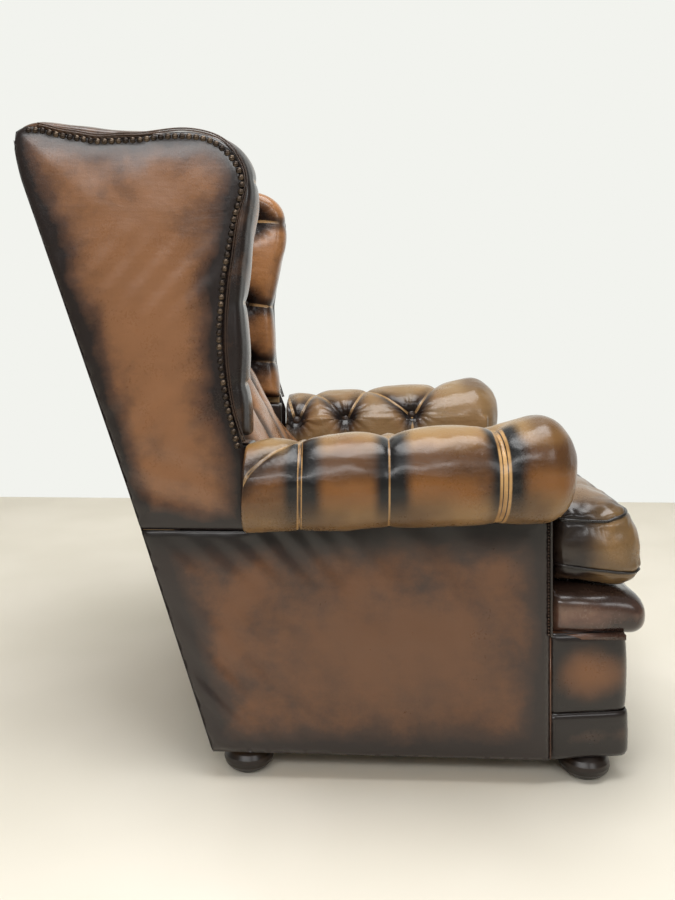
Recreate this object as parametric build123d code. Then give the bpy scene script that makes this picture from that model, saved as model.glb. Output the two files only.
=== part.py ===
from build123d import *
import math
import os

os.makedirs("parts", exist_ok=True)

# A buttoned leather wing armchair with rolled arms and one loose T-shaped seat cushion.
# Millimetres. +Z is up and the chair faces -Y. The origin is on the floor, under the middle of the
# whole chair. Left and right are the sitter's, so left is +X.

# Driving sizes of the whole chair
depth = 942.0                 # front of the lip to the top rear corner
inside_width = 510.0          # between the inside faces of the arms and wings
arm_padding = 47.4            # from that inside face to the hardwood side frame
roll_overhang = 93.5          # how far an arm roll stands out past its outside panel
wing_top_z = 981.0            # top of the wing, over its rounded front corner
back_rake = 17.9              # lean of the outside back from upright, in degrees
foot_height = 44.0
deck_z = 284.0                # top of the sprung platform that the cushion lies on

# Thicknesses and clearances
clear = 0.3                   # between pieces that are assembled against each other
panel = 3.0                   # leather on its backing board
board = 28.0                  # hardwood of the side frames
rail = 26.0                   # hardwood of the seat and back rails
cut_over = 20.0               # how far a cutting shape runs past what it cuts

# Front block and lip
lip_depth = 144.0             # front of the lip to the front edge of the outside panel
lip_overhang = 26.0           # how far the lip stands forward of the block's cover
lip_height = 64.0
lip_low_round = 27.0
lip_top_round = 30.0
lip_end_round = 12.0
lip_side_inset = 14.0         # end of the lip, in from the outside panel
band_height = 60.0            # lower band of the block's cover
band_proud = 2.5              # how far the lower band stands proud of the upper one
block_front_inset = 24.0      # front corner of the block, in from the outside panel
block_rear_inset = 8.0        # rear edge of the block's cheek, in from the outside panel

# Hardwood frame
corner_block = 62.0
corner_block_height = 60.0
stump_depth = 66.0
post_depth = 45.0
tack_strip_height = 36.0
stay_rail_lift = 16.0         # underside of the rail behind the foot of the inside back, over the deck
stay_rail_height = 56.0
crest_rail_height = 62.0
back_corner_drop = 16.0       # where the outside back rounds over, below the wing's top
crest_rail_drop = 26.0        # top of the crest rail, below that rear corner
outside_back_drop = 6.0       # top edge of the outside back, below the same corner
arm_board_thickness = 20.0
arm_board_lift = 8.0          # padding under the arm board
arm_board_out = 62.0          # arm board's edge, out from the outside panel
arm_board_rear_inset = 18.0   # rear end of the board's wide part, in from the roll's end
wing_post_width = 40.0
wing_post_back = 4.0          # padding in front of the wing's post
wing_rail_height = 36.0
wing_rail_drop = 14.0         # top of the wing's rail, below the edge of its outside panel

# Feet
foot_radius = 38.0
foot_waist_radius = 27.0
foot_sole_radius = 22.0
foot_steps = 6                # straight steps that the bun's round profile is turned in
foot_collar = 7.0
foot_inset_x = 47.0           # foot centre, in from the outside panel
foot_front_inset = 57.0       # front foot centre, back from the block's cover
foot_rear_inset = 51.0        # rear foot centre, forward of the foot of the outside back
bolt_radius = 4.0
bolt_length = 58.0
bolt_in_foot = 26.0

# Springs, webbing and platform
spring_count = 5
spring_bends = 14
spring_wire = 4.0
spring_half_width = 24.0
spring_corner = 10.0
spring_drop = 9.0             # springs lie this far below the top of the seat rails
clip_length = 26.0
clip_depth = 10.0
clip_height = 12.0
web = 2.0
web_width = 50.0
web_rows = 4
web_columns = 5
dust_cloth = 1.0

# Arm roll. Its heights are over the deck.
roll_nose = 31.0              # how far the nose stands forward of the outside panel
roll_wing_gap = 4.0           # rear end of the roll, in front of the wing's foot
roll_front_crest = 263.5      # crest at the nose
roll_rear_crest = 228.5
roll_front_under = 123.0      # underside at the nose
roll_rear_under = 103.0
roll_taper = 6.0              # how much less the rear end stands out than the nose
roll_crest_out = 26.0         # crest line, out from the outside panel
roll_shoulder = 78.0          # height over which the inner shoulder rounds down to the inside arm
roll_pleat_drop = 15.0        # how far the crest dips at a pleat
roll_pleat_nip = 6.0          # how far the roll's side draws in at a pleat
roll_pleat_shares = (0.255, 0.59, 0.86)       # pleats along the roll, from nose to rear end
swell_place_shares = (0.0, 0.13, 0.5, 0.87, 1.0)  # stations along one swell between two pleats
swell_size_shares = (0.0, 0.7, 1.0, 0.7, 0.0)     # fullness at those stations
nose_inset = 13.0             # inner edge of the nose, out from the inside face of the arm
nose_place_shares = (0.0, 0.1, 0.32, 0.68, 1.0)   # stations back from the tip of the nose
nose_size_shares = (0.28, 0.45, 0.63, 0.85, 0.98)
arm_button_angle = 22.0       # place of the arm's buttons round the inner shoulder, in degrees
arm_pleat_angles = (22.0, 56.0, 88.0)         # points of a pleat round the shoulder, in degrees

# Wing
seam_lift = 89.0              # seam of the outside wing and the outside arm, over the deck
wing_foot_lift = 226.0        # where the wing's padding stands on the arm, over the deck
wing_waist_share = 0.559      # waist of the wing's front edge, up from its foot to its brow
wing_brow_drop = 106.0        # brow, below the wing's top
wing_ear_rise = 16.0          # rear end of the wing's top, where it meets the back, over its front
wing_foot_depth = 202.0       # foot of the wing's front edge, forward of the raked outside back
wing_waist_back = 7.0         # waist of that edge, behind its foot
wing_brow_forward = 10.5      # brow, forward of the foot
wing_foot_border = 7.0        # padded border in front of the outside wing panel
wing_waist_border = 23.0
wing_brow_border = 11.5
wing_top_border = 19.0
wing_shoulder_run = 89.0      # depth of the rounded upper front corner
wing_ear_run = 30.0           # depth of the rounded upper rear corner
wing_inner_round = 20.0
wing_outer_round = 5.0
wing_round_share = 0.75       # the most that a round takes of the outline's tightest curve
wing_button_inset = 76.0      # wing buttons, behind the wing's front edge
wing_button_shares = (0.841, 0.446, 0.18)     # their heights, up from the wing's foot to its top
wing_pleat_shares = (0.826, 0.431, 0.17)      # where their pleats reach the front edge

# Inside back
back_foot_lift = 46.0         # foot of the inside back's face, over the deck
back_middle_share = 0.4       # middle of the face, up from its foot to its head
back_head_drop = 81.0         # head of the face, below the wing's top
back_foot_depth = 235.9       # face at those heights, forward of the raked outside back
back_middle_depth = 190.5
back_head_depth = 150.0
back_top_rise = 9.0           # top of the back, over the wing's top
back_top_run = 86.0           # depth of the roll over the top, front and rear
back_rear_run = 34.0
back_button_rows = 5
back_button_columns = 4       # in the lowest row, and one fewer in every second row
back_button_lift = 215.0      # lowest row, over the foot of the face
back_button_drop = 15.0       # highest row, below the head of the face
back_channel_lift = 70.0      # foot of the upright pleats below the lowest row, over the face's foot

# Buttons, dimples and pleats
button_radius = 9.0
button_height = 4.0
dimple_floor = 13.0
dimple_mouth = 27.0
dimple_depth = 14.0
pleat_width = 12.0
pleat_depth = 7.0
pleat_reach = 40.0            # how far the pleat cutter runs out of the padding

# Seat cushion
cushion_gap = 4.0             # beside the arms
cushion_lift = 0.5            # above the platform
cushion_ear_gap = 6.0         # in front of the leather on the arm's front
cushion_ear_inset = 14.0      # side of the ear, in from the outside panel
cushion_front_inset = 6.0     # front of the cushion, behind the front of the lip
cushion_back_gap = 6.0
cushion_thickness = 144.0
cushion_corner = 30.0
cushion_ear_corner = 16.0
cushion_inner_corner = 7.0
cushion_draw = 7.0            # how far a long side pulls in between its corners
cushion_height_shares = (0.0, 0.05, 0.17, 0.47, 0.74, 0.87, 0.96, 1.0)
cushion_inset = 60.0          # the most that a section is drawn in
cushion_inset_shares = (0.6, 0.2, 0.05, 0.0, 0.09, 0.3, 0.65, 1.0)
cushion_lean = 17.0           # how far the front leans back at the top seam
cushion_lean_shares = (0.0, 0.0, 0.0, 0.0, 1.0, 1.0, 1.0, 1.0)
cushion_ear_inset_share = 0.35   # rear edge of the ears draws in by this much of the rest
cushion_corner_loss_share = 0.55 # how much rounder corners tighten where a section is drawn in most

# Places worked out from the sizes above
front_y = -depth / 2
panel_front_y = front_y + lip_depth
block_front_y = front_y + lip_overhang
inner_x = inside_width / 2
seat_out_x = inner_x + arm_padding
seat_in_x = seat_out_x - rail
frame_in_x = seat_out_x + clear
frame_out_x = frame_in_x + board
skin_x = frame_out_x + clear
side_x = skin_x + panel
stay_rail_z = deck_z + stay_rail_lift
seam_z = deck_z + seam_lift
lip_z = deck_z - lip_height
seat_top_z = lip_z - clear
spring_z = seat_top_z - spring_drop
rake_tan = math.tan(math.radians(back_rake))
rake_cos = math.cos(math.radians(back_rake))
rail_inset = panel + clear
web_inset = rail_inset + rail + clear
pad_inset = web_inset + web + clear
front_rail_y = block_front_y + panel + band_proud + clear
roll_crest_x = side_x + roll_crest_out
roll_outer_x = side_x + roll_overhang
back_corner_z = wing_top_z - back_corner_drop
crest_top_z = back_corner_z - crest_rail_drop
diagonal = math.sqrt(0.5)


def raked_y(z, inset):
    """Y at height z of a line parallel to the outside back, this far inside its outer face."""
    return depth / 2 - (back_corner_z - z) * rake_tan - inset / rake_cos


# Heights and places of the wing, the arm roll between it and the nose, and the inside back
wing_foot_z = deck_z + wing_foot_lift
wing_brow_z = wing_top_z - wing_brow_drop
wing_waist_z = wing_foot_z + wing_waist_share * (wing_brow_z - wing_foot_z)
wing_foot_y = raked_y(wing_foot_z, 0) - wing_foot_depth
roll_front_y = panel_front_y - roll_nose
roll_rear_y = wing_foot_y - roll_wing_gap
roll_length = roll_rear_y - roll_front_y
back_foot_z = deck_z + back_foot_lift
back_head_z = wing_top_z - back_head_drop
back_middle_z = back_foot_z + back_middle_share * (back_head_z - back_foot_z)
back_foot_y = raked_y(back_foot_z, 0) - back_foot_depth
back_button_pitch = inside_width / back_button_columns
back_button_foot_z = back_foot_z + back_button_lift
back_button_rise = (back_head_z - back_button_drop - back_button_foot_z) / (back_button_rows - 1)


def box(x0, x1, y0, y1, z0, z1):
    """A block between two corners."""
    block = Box(x1 - x0, y1 - y0, z1 - z0, align=(Align.MIN, Align.MIN, Align.MIN))
    return Pos(x0, y0, z0) * block


def profile(edges, x0, x1):
    """A closed outline in the YZ plane, as thick as from x0 to x1."""
    outline = Plane.YZ.offset(x0) * (Curve() + edges)
    return extrude(make_face(outline), amount=x1 - x0, dir=(1, 0, 0))


def slab(points, x0, x1):
    """A straight-sided outline in the YZ plane, as thick as from x0 to x1."""
    return profile([Polyline(*points, close=True)], x0, x1)


def raked_slab(inset0, inset1, z0, z1, x0, x1):
    """A board that leans with the outside back, cut level at both ends."""
    low = [(raked_y(z0, inset0), z0), (raked_y(z0, inset1), z0)]
    high = [(raked_y(z1, inset1), z1), (raked_y(z1, inset0), z1)]
    return slab(low + high, x0, x1)


def quarter(start, end, upright_first):
    """An arc close to a quarter ellipse, which leaves its start upright or else level."""
    across = 1 - diagonal if upright_first else diagonal
    up = diagonal if upright_first else 1 - diagonal
    middle = (start[0] + (end[0] - start[0]) * across, start[1] + (end[1] - start[1]) * up)
    return ThreePointArc(start, middle, end)


def arc_y(points, z):
    """Y at height z on the circle through three points in the YZ plane, on its rearward side."""
    (y1, z1), (y2, z2), (y3, z3) = points
    s1, s2, s3 = y1 * y1 + z1 * z1, y2 * y2 + z2 * z2, y3 * y3 + z3 * z3
    twice = 2 * (y1 * (z2 - z3) + y2 * (z3 - z1) + y3 * (z1 - z2))
    centre_y = (s1 * (z2 - z3) + s2 * (z3 - z1) + s3 * (z1 - z2)) / twice
    centre_z = (s1 * (y3 - y2) + s2 * (y1 - y3) + s3 * (y2 - y1)) / twice
    radius = math.hypot(y1 - centre_y, z1 - centre_z)
    return centre_y + math.sqrt(radius * radius - (z - centre_z) ** 2)


def write(name, shape):
    export_step(shape, f"parts/{name}.step")


def write_pair(name, shape):
    """Writes a side piece, modelled on the left, and its mirror image for the right."""
    write(f"{name}_left", shape)
    write(f"{name}_right", mirror(shape, about=Plane.YZ))


# Arm roll sections
def roll_share(y):
    return (y - roll_front_y) / roll_length


def roll_crest_z(y):
    return deck_z + roll_front_crest + roll_share(y) * (roll_rear_crest - roll_front_crest)


def roll_under_z(y):
    return deck_z + roll_front_under + roll_share(y) * (roll_rear_under - roll_front_under)


# Hardwood frame
def bolt_holes():
    """Bores for the feet's bolts, through whatever they go up into."""
    hole = Cylinder(bolt_radius + clear, bolt_length + cut_over, align=(Align.CENTER, Align.CENTER, Align.MIN))
    return [Pos(x, y, foot_height - cut_over) * hole for x, y in foot_places().values()]


def front_rail():
    return box(-seat_out_x, seat_out_x, front_rail_y, front_rail_y + rail, foot_height, seat_top_z)


def side_rail():
    y0 = front_rail_y + rail + clear
    low = [(y0, foot_height), (raked_y(foot_height, rail_inset + rail + clear), foot_height)]
    high = [(raked_y(seat_top_z, rail_inset + rail + clear), seat_top_z), (y0, seat_top_z)]
    plain = slab(low + high, seat_in_x, seat_out_x)
    for hole in bolt_holes():
        plain -= hole
    return plain


def rear_rail():
    return raked_slab(rail_inset, rail_inset + rail, foot_height, seat_top_z, -seat_out_x, seat_out_x)


def corner_blocks():
    """Four triangular blocks across the inside corners of the seat frame."""
    front = front_rail_y + rail + clear
    rear = raked_y(foot_height, rail_inset + rail + clear)
    x = seat_in_x - clear
    blocks = []
    for y, way in ((front, 1), (rear, -1)):
        for side in (1, -1):
            corner = [(side * x, y), (side * (x - corner_block), y), (side * x, y + way * corner_block)]
            face = make_face(Plane.XY.offset(foot_height) * Polyline(*corner, close=True))
            blocks.append(extrude(face, amount=corner_block_height, dir=(0, 0, 1)))
    return Compound(children=blocks)


def arm_stump(grow=0.0):
    """Front upright of the side frame, up to the arm board."""
    y0 = panel_front_y + clear - grow
    y1 = panel_front_y + clear + stump_depth + grow
    lift = arm_board_lift - clear
    top = [(y1, roll_under_z(y1) + lift), (y0, roll_under_z(y0) + lift)]
    return slab([(y0, foot_height), (y1, foot_height)] + top, frame_in_x - grow, frame_out_x + grow)


def tack_strip():
    """Low strip that the bottom edge of the outside arm is tacked to."""
    y0 = panel_front_y + 2 * clear + stump_depth
    y1 = raked_y(foot_height, rail_inset + post_depth + clear)
    return box(frame_in_x, frame_out_x, y0, y1, foot_height, foot_height + tack_strip_height)


def back_post():
    inset = rail_inset + post_depth
    return raked_slab(rail_inset, inset, foot_height, crest_top_z, frame_in_x, frame_out_x)


def arm_board(grow=0.0):
    """Board under the roll. Its narrow tail runs on inside the side frame to the back post."""
    y0 = panel_front_y + clear - grow
    y1 = roll_rear_y - arm_board_rear_inset + grow
    y2 = raked_y(roll_under_z(y1), rail_inset + post_depth + clear)
    thick = arm_board_thickness + grow
    pieces = []
    for ya, yb, xa, xb in ((y0, y1, inner_x + board, side_x + arm_board_out), (y1, y2, frame_in_x, frame_out_x)):
        low = [(ya, roll_under_z(ya) + arm_board_lift - grow), (yb, roll_under_z(yb) + arm_board_lift - grow)]
        high = [(y, z + thick + grow) for y, z in reversed(low)]
        pieces.append(slab(low + high, xa - grow, xb + grow))
    return pieces[0] + pieces[1]


def stay_rail():
    top = stay_rail_z + stay_rail_height
    return raked_slab(rail_inset, rail_inset + rail, stay_rail_z, top, -seat_out_x, seat_out_x)


def crest_rail():
    low = crest_top_z - crest_rail_height
    return raked_slab(rail_inset, rail_inset + rail, low, crest_top_z, -seat_out_x, seat_out_x)


# Wing outlines, in the YZ plane. A share of 0 is the padded edge and 1 the outside panel's edge.
def wing_front(share, grow=0.0):
    """Foot, waist and brow of the wing's front edge."""
    rows = (
        (0, wing_foot_border, wing_foot_z),
        (wing_waist_back, wing_waist_border, wing_waist_z),
        (-wing_brow_forward, wing_brow_border, wing_brow_z),
    )
    return [(wing_foot_y + back + share * border - grow, z) for back, border, z in rows]


def wing_outline(share, grow=0.0, inset=0.0):
    """Closed outline: up the front and round the brow in one line, along the top and down the rear."""
    front = wing_front(share, grow)
    drop = share * wing_top_border - grow
    rise_share = (wing_top_z - wing_brow_z - drop) / (wing_top_z - wing_brow_z)
    crown = (front[2][0] + wing_shoulder_run * rise_share, wing_top_z - drop)
    rear_top = (raked_y(back_corner_z - drop, inset), back_corner_z - drop)
    ear = (rear_top[0] - wing_ear_run, wing_top_z + wing_ear_rise - drop)
    rear_foot = (raked_y(wing_foot_z, inset), wing_foot_z)
    shoulder = TangentArc(crown, front[2], tangent=(-1, 0))
    leave_foot = ThreePointArc(*front) % 0
    edge = Spline(*front, shoulder @ 0.5, crown, tangents=(leave_foot, (1, 0)))
    top = TangentArc(crown, ear, tangent=(1, 0))
    corner = TangentArc(ear, rear_top, tangent=top % 1)
    return [edge, top, corner, Line(rear_top, rear_foot), Line(rear_foot, front[0])]


def outside_wing():
    """Leather panel outside the wing, down to the seam behind the arm roll."""
    upper = profile(wing_outline(1, inset=rail_inset), skin_x, side_x)
    y0 = roll_rear_y + clear
    low = seam_z + clear
    points = [
        (y0, wing_foot_z),
        (y0, low),
        (raked_y(low, rail_inset), low),
        (raked_y(wing_foot_z, rail_inset), wing_foot_z),
    ]
    return upper + slab(points, skin_x, side_x)


def wing_post():
    """Upright of the wing, on the tail of the arm board."""
    low = roll_under_z(roll_rear_y) + arm_board_lift + arm_board_thickness + clear
    front = [(y + wing_post_back, z) for y, z in wing_front(1)]
    foot = (front[0][0], low)
    rear = [(y + wing_post_width, z) for y, z in reversed(front)]
    rear_foot = (rear[2][0], low)
    edges = [
        Line(foot, front[0]),
        ThreePointArc(*front),
        Line(front[2], rear[0]),
        ThreePointArc(*rear),
        Line(rear[2], rear_foot),
        Line(rear_foot, foot),
    ]
    return profile(edges, frame_in_x, frame_out_x)


def wing_rail():
    """Top rail of the wing, from over its post back to the back post."""
    high = wing_top_z - wing_top_border - wing_rail_drop
    low = high - wing_rail_height
    y0 = wing_front(1)[2][0] + wing_shoulder_run / 2
    inset = rail_inset + post_depth + clear
    rear = [(raked_y(low, inset), low), (raked_y(min(high, crest_top_z), inset), high)]
    return slab([(y0, low)] + rear + [(y0, high)], frame_in_x, frame_out_x)


def back_zone():
    """Space that the back's rails, webbing and outside panel need."""
    rails = raked_slab(-cut_over, pad_inset, 0, crest_top_z + clear, -side_x - cut_over, side_x + cut_over)
    skin_top = back_corner_z - outside_back_drop + clear
    return rails + raked_slab(-cut_over, rail_inset, 0, skin_top, -side_x - cut_over, side_x + cut_over)


# Feet
def foot_places():
    front = block_front_y + foot_front_inset
    rear = raked_y(foot_height, 0) - foot_rear_inset
    x = side_x - foot_inset_x
    return {
        "front_left": (x, front),
        "front_right": (-x, front),
        "rear_left": (x, rear),
        "rear_right": (-x, rear),
    }


def foot():
    """Turned bun foot with a collar under the rail and a flat sole, bored for its bolt."""
    top = foot_height - clear
    shoulder_z = top - foot_collar
    points = [(0, 0)]
    for step in range(foot_steps + 1):
        from_belly = 2 * step / foot_steps - 1
        end_radius = foot_sole_radius if from_belly < 0 else foot_waist_radius
        radius = foot_radius - (foot_radius - end_radius) * from_belly ** 2
        points.append((radius, shoulder_z * step / foot_steps))
    points += [(foot_waist_radius, top), (0, top)]
    bun = revolve(make_face(Plane.XZ * Polyline(*points, close=True)), Axis.Z)
    bore = Cylinder(bolt_radius + clear, bolt_in_foot, align=(Align.CENTER, Align.CENTER, Align.MAX))
    return bun - Pos(0, 0, top) * bore


def foot_bolts():
    """Hanger bolts, one up from each foot into the seat rail."""
    low = foot_height - bolt_in_foot
    bolt = Cylinder(bolt_radius, bolt_length, align=(Align.CENTER, Align.CENTER, Align.MIN))
    return Compound(children=[Pos(x, y, low) * bolt for x, y in foot_places().values()])


# Springs, webbing and platform
def spring_places():
    step = 2 * (seat_in_x - spring_half_width) / (spring_count + 1)
    return [step * (i - (spring_count - 1) / 2) for i in range(spring_count)]


def spring_ends():
    """Y of the first and the last cross bar of each spring, in the clips on the two rails."""
    front = front_rail_y + rail + clear + clip_depth / 2
    rear = raked_y(spring_z - clip_height / 2, rail_inset + rail + clear) - clip_depth / 2
    return front, rear


def seat_springs():
    """Zigzag springs, front to back, each bent from one wire."""
    front, rear = spring_ends()
    pitch = (rear - front) / spring_bends
    points = []
    for bar in range(spring_bends + 1):
        side = 1 if bar % 2 else -1
        y = front + bar * pitch
        cut = min(spring_corner, pitch / 2 - spring_wire / 4)
        inner = spring_half_width - spring_corner
        if bar:
            points += [(-side * spring_half_width, y - cut), (-side * inner, y)]
        else:
            points += [(-side * spring_half_width, y)]
        if bar < spring_bends:
            points += [(side * inner, y), (side * spring_half_width, y + cut)]
        else:
            points += [(side * spring_half_width, y)]
    wire = trace(Polyline(*points), line_width=spring_wire)
    flat = extrude(wire, amount=spring_wire)
    return Compound(children=[Pos(x, 0, spring_z - spring_wire / 2) * flat for x in spring_places()])


def spring_clips():
    """Plates screwed to the rails, each with a bore for the end bar of a spring."""
    front, rear = spring_ends()
    plate = Box(clip_length, clip_depth, clip_height)
    slot = Box(clip_length + cut_over, spring_wire + 2 * clear, spring_wire + 2 * clear)
    clip = plate - slot
    return Compound(children=[Pos(x, y, spring_z) * clip for x in spring_places() for y in (front, rear)])


def back_webbing():
    """Straps woven between the stay rail, the crest rail and the posts, joined where they cross."""
    low, high = stay_rail_z, crest_top_z
    straps = None
    for column in range(web_columns):
        x = seat_out_x * (2 * (column + 0.5) / web_columns - 1)
        strap = raked_slab(web_inset, web_inset + web, low, high, x - web_width / 2, x + web_width / 2)
        straps = strap if straps is None else straps + strap
    first = low + stay_rail_height
    pitch = (high - crest_rail_height - first) / web_rows
    for row in range(web_rows):
        z = first + (row + 0.5) * pitch - web_width / 2
        straps += raked_slab(web_inset, web_inset + web, z, z + web_width, -seat_out_x, seat_out_x)
    return straps


def seat_platform():
    """Padded platform over the springs, with a thinner apron that carries the lip."""
    x = inner_x - clear
    low = spring_z + spring_wire / 2 + clear
    main = box(-x, x, panel_front_y - panel - clear, back_foot_y - clear, low, deck_z)
    apron = box(-x, x, front_rail_y + rail + clear, panel_front_y, low, lip_z - clear)
    clips = clip_height / 2 + clear
    for y in spring_ends():
        half = clip_depth / 2 + clear
        apron -= box(-x, x, y - half, y + half, spring_z - clips, spring_z + clips)
        main -= box(-x, x, y - half, y + half, spring_z - clips, spring_z + clips)
    return main + apron


def dust_cover():
    """Black cloth under the frame, cut round the feet."""
    top = foot_height - clear
    rear = raked_y(foot_height, rail_inset)
    sheet = box(-seat_out_x, seat_out_x, front_rail_y, rear, top - dust_cloth, top)
    hole = Cylinder(foot_radius + clear, cut_over)
    for x, y in foot_places().values():
        sheet -= Pos(x, y, top) * hole
    return sheet


# Front block, lip and outside covers
def block_cover(z0, z1, proud):
    """Leather round the front block, with padded cheeks that splay out towards the arms."""
    front = block_front_y - proud
    rear = panel_front_y - clear
    corner = side_x - block_front_inset + proud
    cheek = side_x - block_rear_inset + proud
    outline = Polyline((-cheek, rear), (-corner, front), (corner, front), (cheek, rear), close=True)
    block = extrude(make_face(Plane.XY.offset(z0) * outline), amount=z1 - z0, dir=(0, 0, 1))
    hollow = seat_out_x + clear
    return block - box(-hollow, hollow, front_rail_y - clear, rear + cut_over, z0 - cut_over, z1 + cut_over)


def front_lip():
    """Bull-nosed padded edge over the front rail."""
    rear = panel_front_y - panel - clear
    edges = [
        quarter((front_y + lip_low_round, lip_z), (front_y, lip_z + lip_low_round), False),
        Line((front_y, lip_z + lip_low_round), (front_y, deck_z - lip_top_round)),
        quarter((front_y, deck_z - lip_top_round), (front_y + lip_top_round, deck_z), True),
        Line((front_y + lip_top_round, deck_z), (rear, deck_z)),
        Line((rear, deck_z), (rear, lip_z)),
        Line((rear, lip_z), (front_y + lip_low_round, lip_z)),
    ]
    half = side_x - lip_side_inset
    roll = profile(edges, -half, half)
    ends = roll.faces().sort_by(Axis.X)
    return fillet(ends[0].edges() + ends[-1].edges(), radius=lip_end_round)


def arm_facing():
    """Leather on the front of the arm, under the nose of the roll."""
    y1 = panel_front_y
    y0 = y1 - panel
    low = [(y0, lip_z), (y1, lip_z)]
    high = [(y, roll_under_z(y0) - clear) for y in (y1, y0)]
    return slab(low + high, inner_x, side_x)


def outside_arm():
    """Leather panel outside the arm, from the seat frame's bottom up under the roll."""
    y0 = panel_front_y + clear
    y1 = roll_rear_y
    points = [
        (y0, foot_height),
        (raked_y(foot_height, rail_inset), foot_height),
        (raked_y(seam_z, rail_inset), seam_z),
        (y1, seam_z),
        (y1, roll_under_z(y1) - clear),
        (y0, roll_under_z(y0) - clear),
    ]
    return slab(points, skin_x, side_x)


def outside_back():
    top = back_corner_z - outside_back_drop
    return raked_slab(0, panel, foot_height, top, -side_x, side_x)


# Buttoned padding
def button_plane(point, outward):
    return Plane(origin=point, z_dir=outward)


def dimple(point, outward):
    """Cutter for the hollow that a button pulls into the padding."""
    cup = Cone(dimple_floor, dimple_mouth, dimple_depth, align=(Align.CENTER, Align.CENTER, Align.MAX))
    rim = Cylinder(dimple_mouth, cut_over, align=(Align.CENTER, Align.CENTER, Align.MIN))
    return button_plane(point, outward) * (cup + rim)


def button(point, outward):
    """Leather-covered button on the floor of its dimple."""
    dome = Cone(button_radius, button_radius / 2, button_height, align=(Align.CENTER, Align.CENTER, Align.MIN))
    return button_plane(point, outward) * Pos(0, 0, clear - dimple_depth) * dome


def pleat(start, end, outward):
    """V-shaped cutter from start to end, whose sharp edge lies below the line between them."""
    start, end, outward = Vector(*start), Vector(*end), Vector(*outward)
    run = end - start
    plane = Plane(origin=start, x_dir=outward.cross(run), z_dir=run)
    half = pleat_width / 2 * (1 + pleat_reach / pleat_depth)
    wedge = Polyline((0, -pleat_depth), (-half, pleat_reach), (half, pleat_reach), close=True)
    return extrude(make_face(plane * wedge), amount=run.length, dir=run)


def cut_all(padding, cutters):
    for cutter in cutters:
        padding -= cutter
    return padding


def back_curve():
    """Foot, middle and head of the inside back's face."""
    rows = (
        (back_foot_depth, back_foot_z),
        (back_middle_depth, back_middle_z),
        (back_head_depth, back_head_z),
    )
    return [(raked_y(z, 0) - padding, z) for padding, z in rows]


def back_point(x, z):
    return (x, arc_y(back_curve(), z), z)


def back_outward():
    """Mean outward direction of the inside back's face."""
    foot_point, _, head = back_curve()
    return (0, foot_point[1] - head[1], head[0] - foot_point[0])


def back_button_places():
    places = []
    for row in range(back_button_rows):
        count = back_button_columns - row % 2
        z = back_button_foot_z + row * back_button_rise
        places.append([back_point((i - (count - 1) / 2) * back_button_pitch, z) for i in range(count)])
    return places


def back_pleats():
    """Diamonds between the buttons, half diamonds at the sides, and upright pleats above and below."""
    rows = back_button_places()
    outward = back_outward()
    cutters = []
    for low, high in zip(rows, rows[1:]):
        for start in low:
            for end in high:
                if abs(start[0] - end[0]) < back_button_pitch:
                    cutters.append(pleat(start, end, outward))
    for row in rows[::2]:
        for sign in (1, -1):
            x, _, z = row[-1] if sign > 0 else row[0]
            for way in (1, -1):
                end_z = z + way * back_button_rise * (inner_x - abs(x)) / (back_button_pitch / 2)
                if back_button_foot_z <= end_z < back_head_z:
                    cutters.append(pleat((x, _, z), back_point(sign * inner_x, end_z), outward))
    for x, y, z in rows[0]:
        cutters.append(pleat(back_point(x, back_foot_z + back_channel_lift), (x, y, z), outward))
    for x, y, z in rows[-1]:
        cutters.append(pleat((x, y, z), back_point(x, back_head_z), outward))
    return cutters


def inside_back():
    """Deep padding in front of the webbing, rolled over the crest rail at the top."""
    foot_point, middle, head = back_curve()
    low = spring_z + clip_height / 2 + clear
    half = inner_x - clear
    front_top = (head[0] + back_top_run, wing_top_z + back_top_rise)
    rear_low = (raked_y(back_corner_z, 0), back_corner_z)
    rear_top = (rear_low[0] - back_rear_run, front_top[1])
    edges = [
        Line((foot_point[0], low), foot_point),
        ThreePointArc(foot_point, middle, head),
        quarter(head, front_top, True),
        Line(front_top, rear_top),
        quarter(rear_top, rear_low, False),
        Line(rear_low, (raked_y(low, 0), low)),
        Line((raked_y(low, 0), low), (foot_point[0], low)),
    ]
    padding = profile(edges, -half, half) - back_zone()
    outward = back_outward()
    dimples = [dimple(place, outward) for row in back_button_places() for place in row]
    return cut_all(padding, back_pleats() + dimples)


def wing_button_places():
    """Buttons on the wing's inside face, and where their pleats reach its front edge."""
    places = []
    for share, edge_share in zip(wing_button_shares, wing_pleat_shares):
        z, edge_z = (wing_foot_z + part * (wing_top_z - wing_foot_z) for part in (share, edge_share))
        edge_y = arc_y(wing_front(0), edge_z)
        places.append(((inner_x, edge_y + wing_button_inset, z), (inner_x, edge_y, edge_z)))
    return places


def rounded_side(padding, x, radius):
    """Rounds the curved edges of the padding's side at x, where the outline is wide enough."""
    edges = padding.edges().filter_by_position(Axis.X, x - clear, x + clear)
    tightest = min(arc.radius for arc in edges.filter_by(GeomType.CIRCLE))
    curved = edges - edges.filter_by(GeomType.LINE)
    return fillet(curved, radius=min(radius, wing_round_share * tightest))


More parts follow.
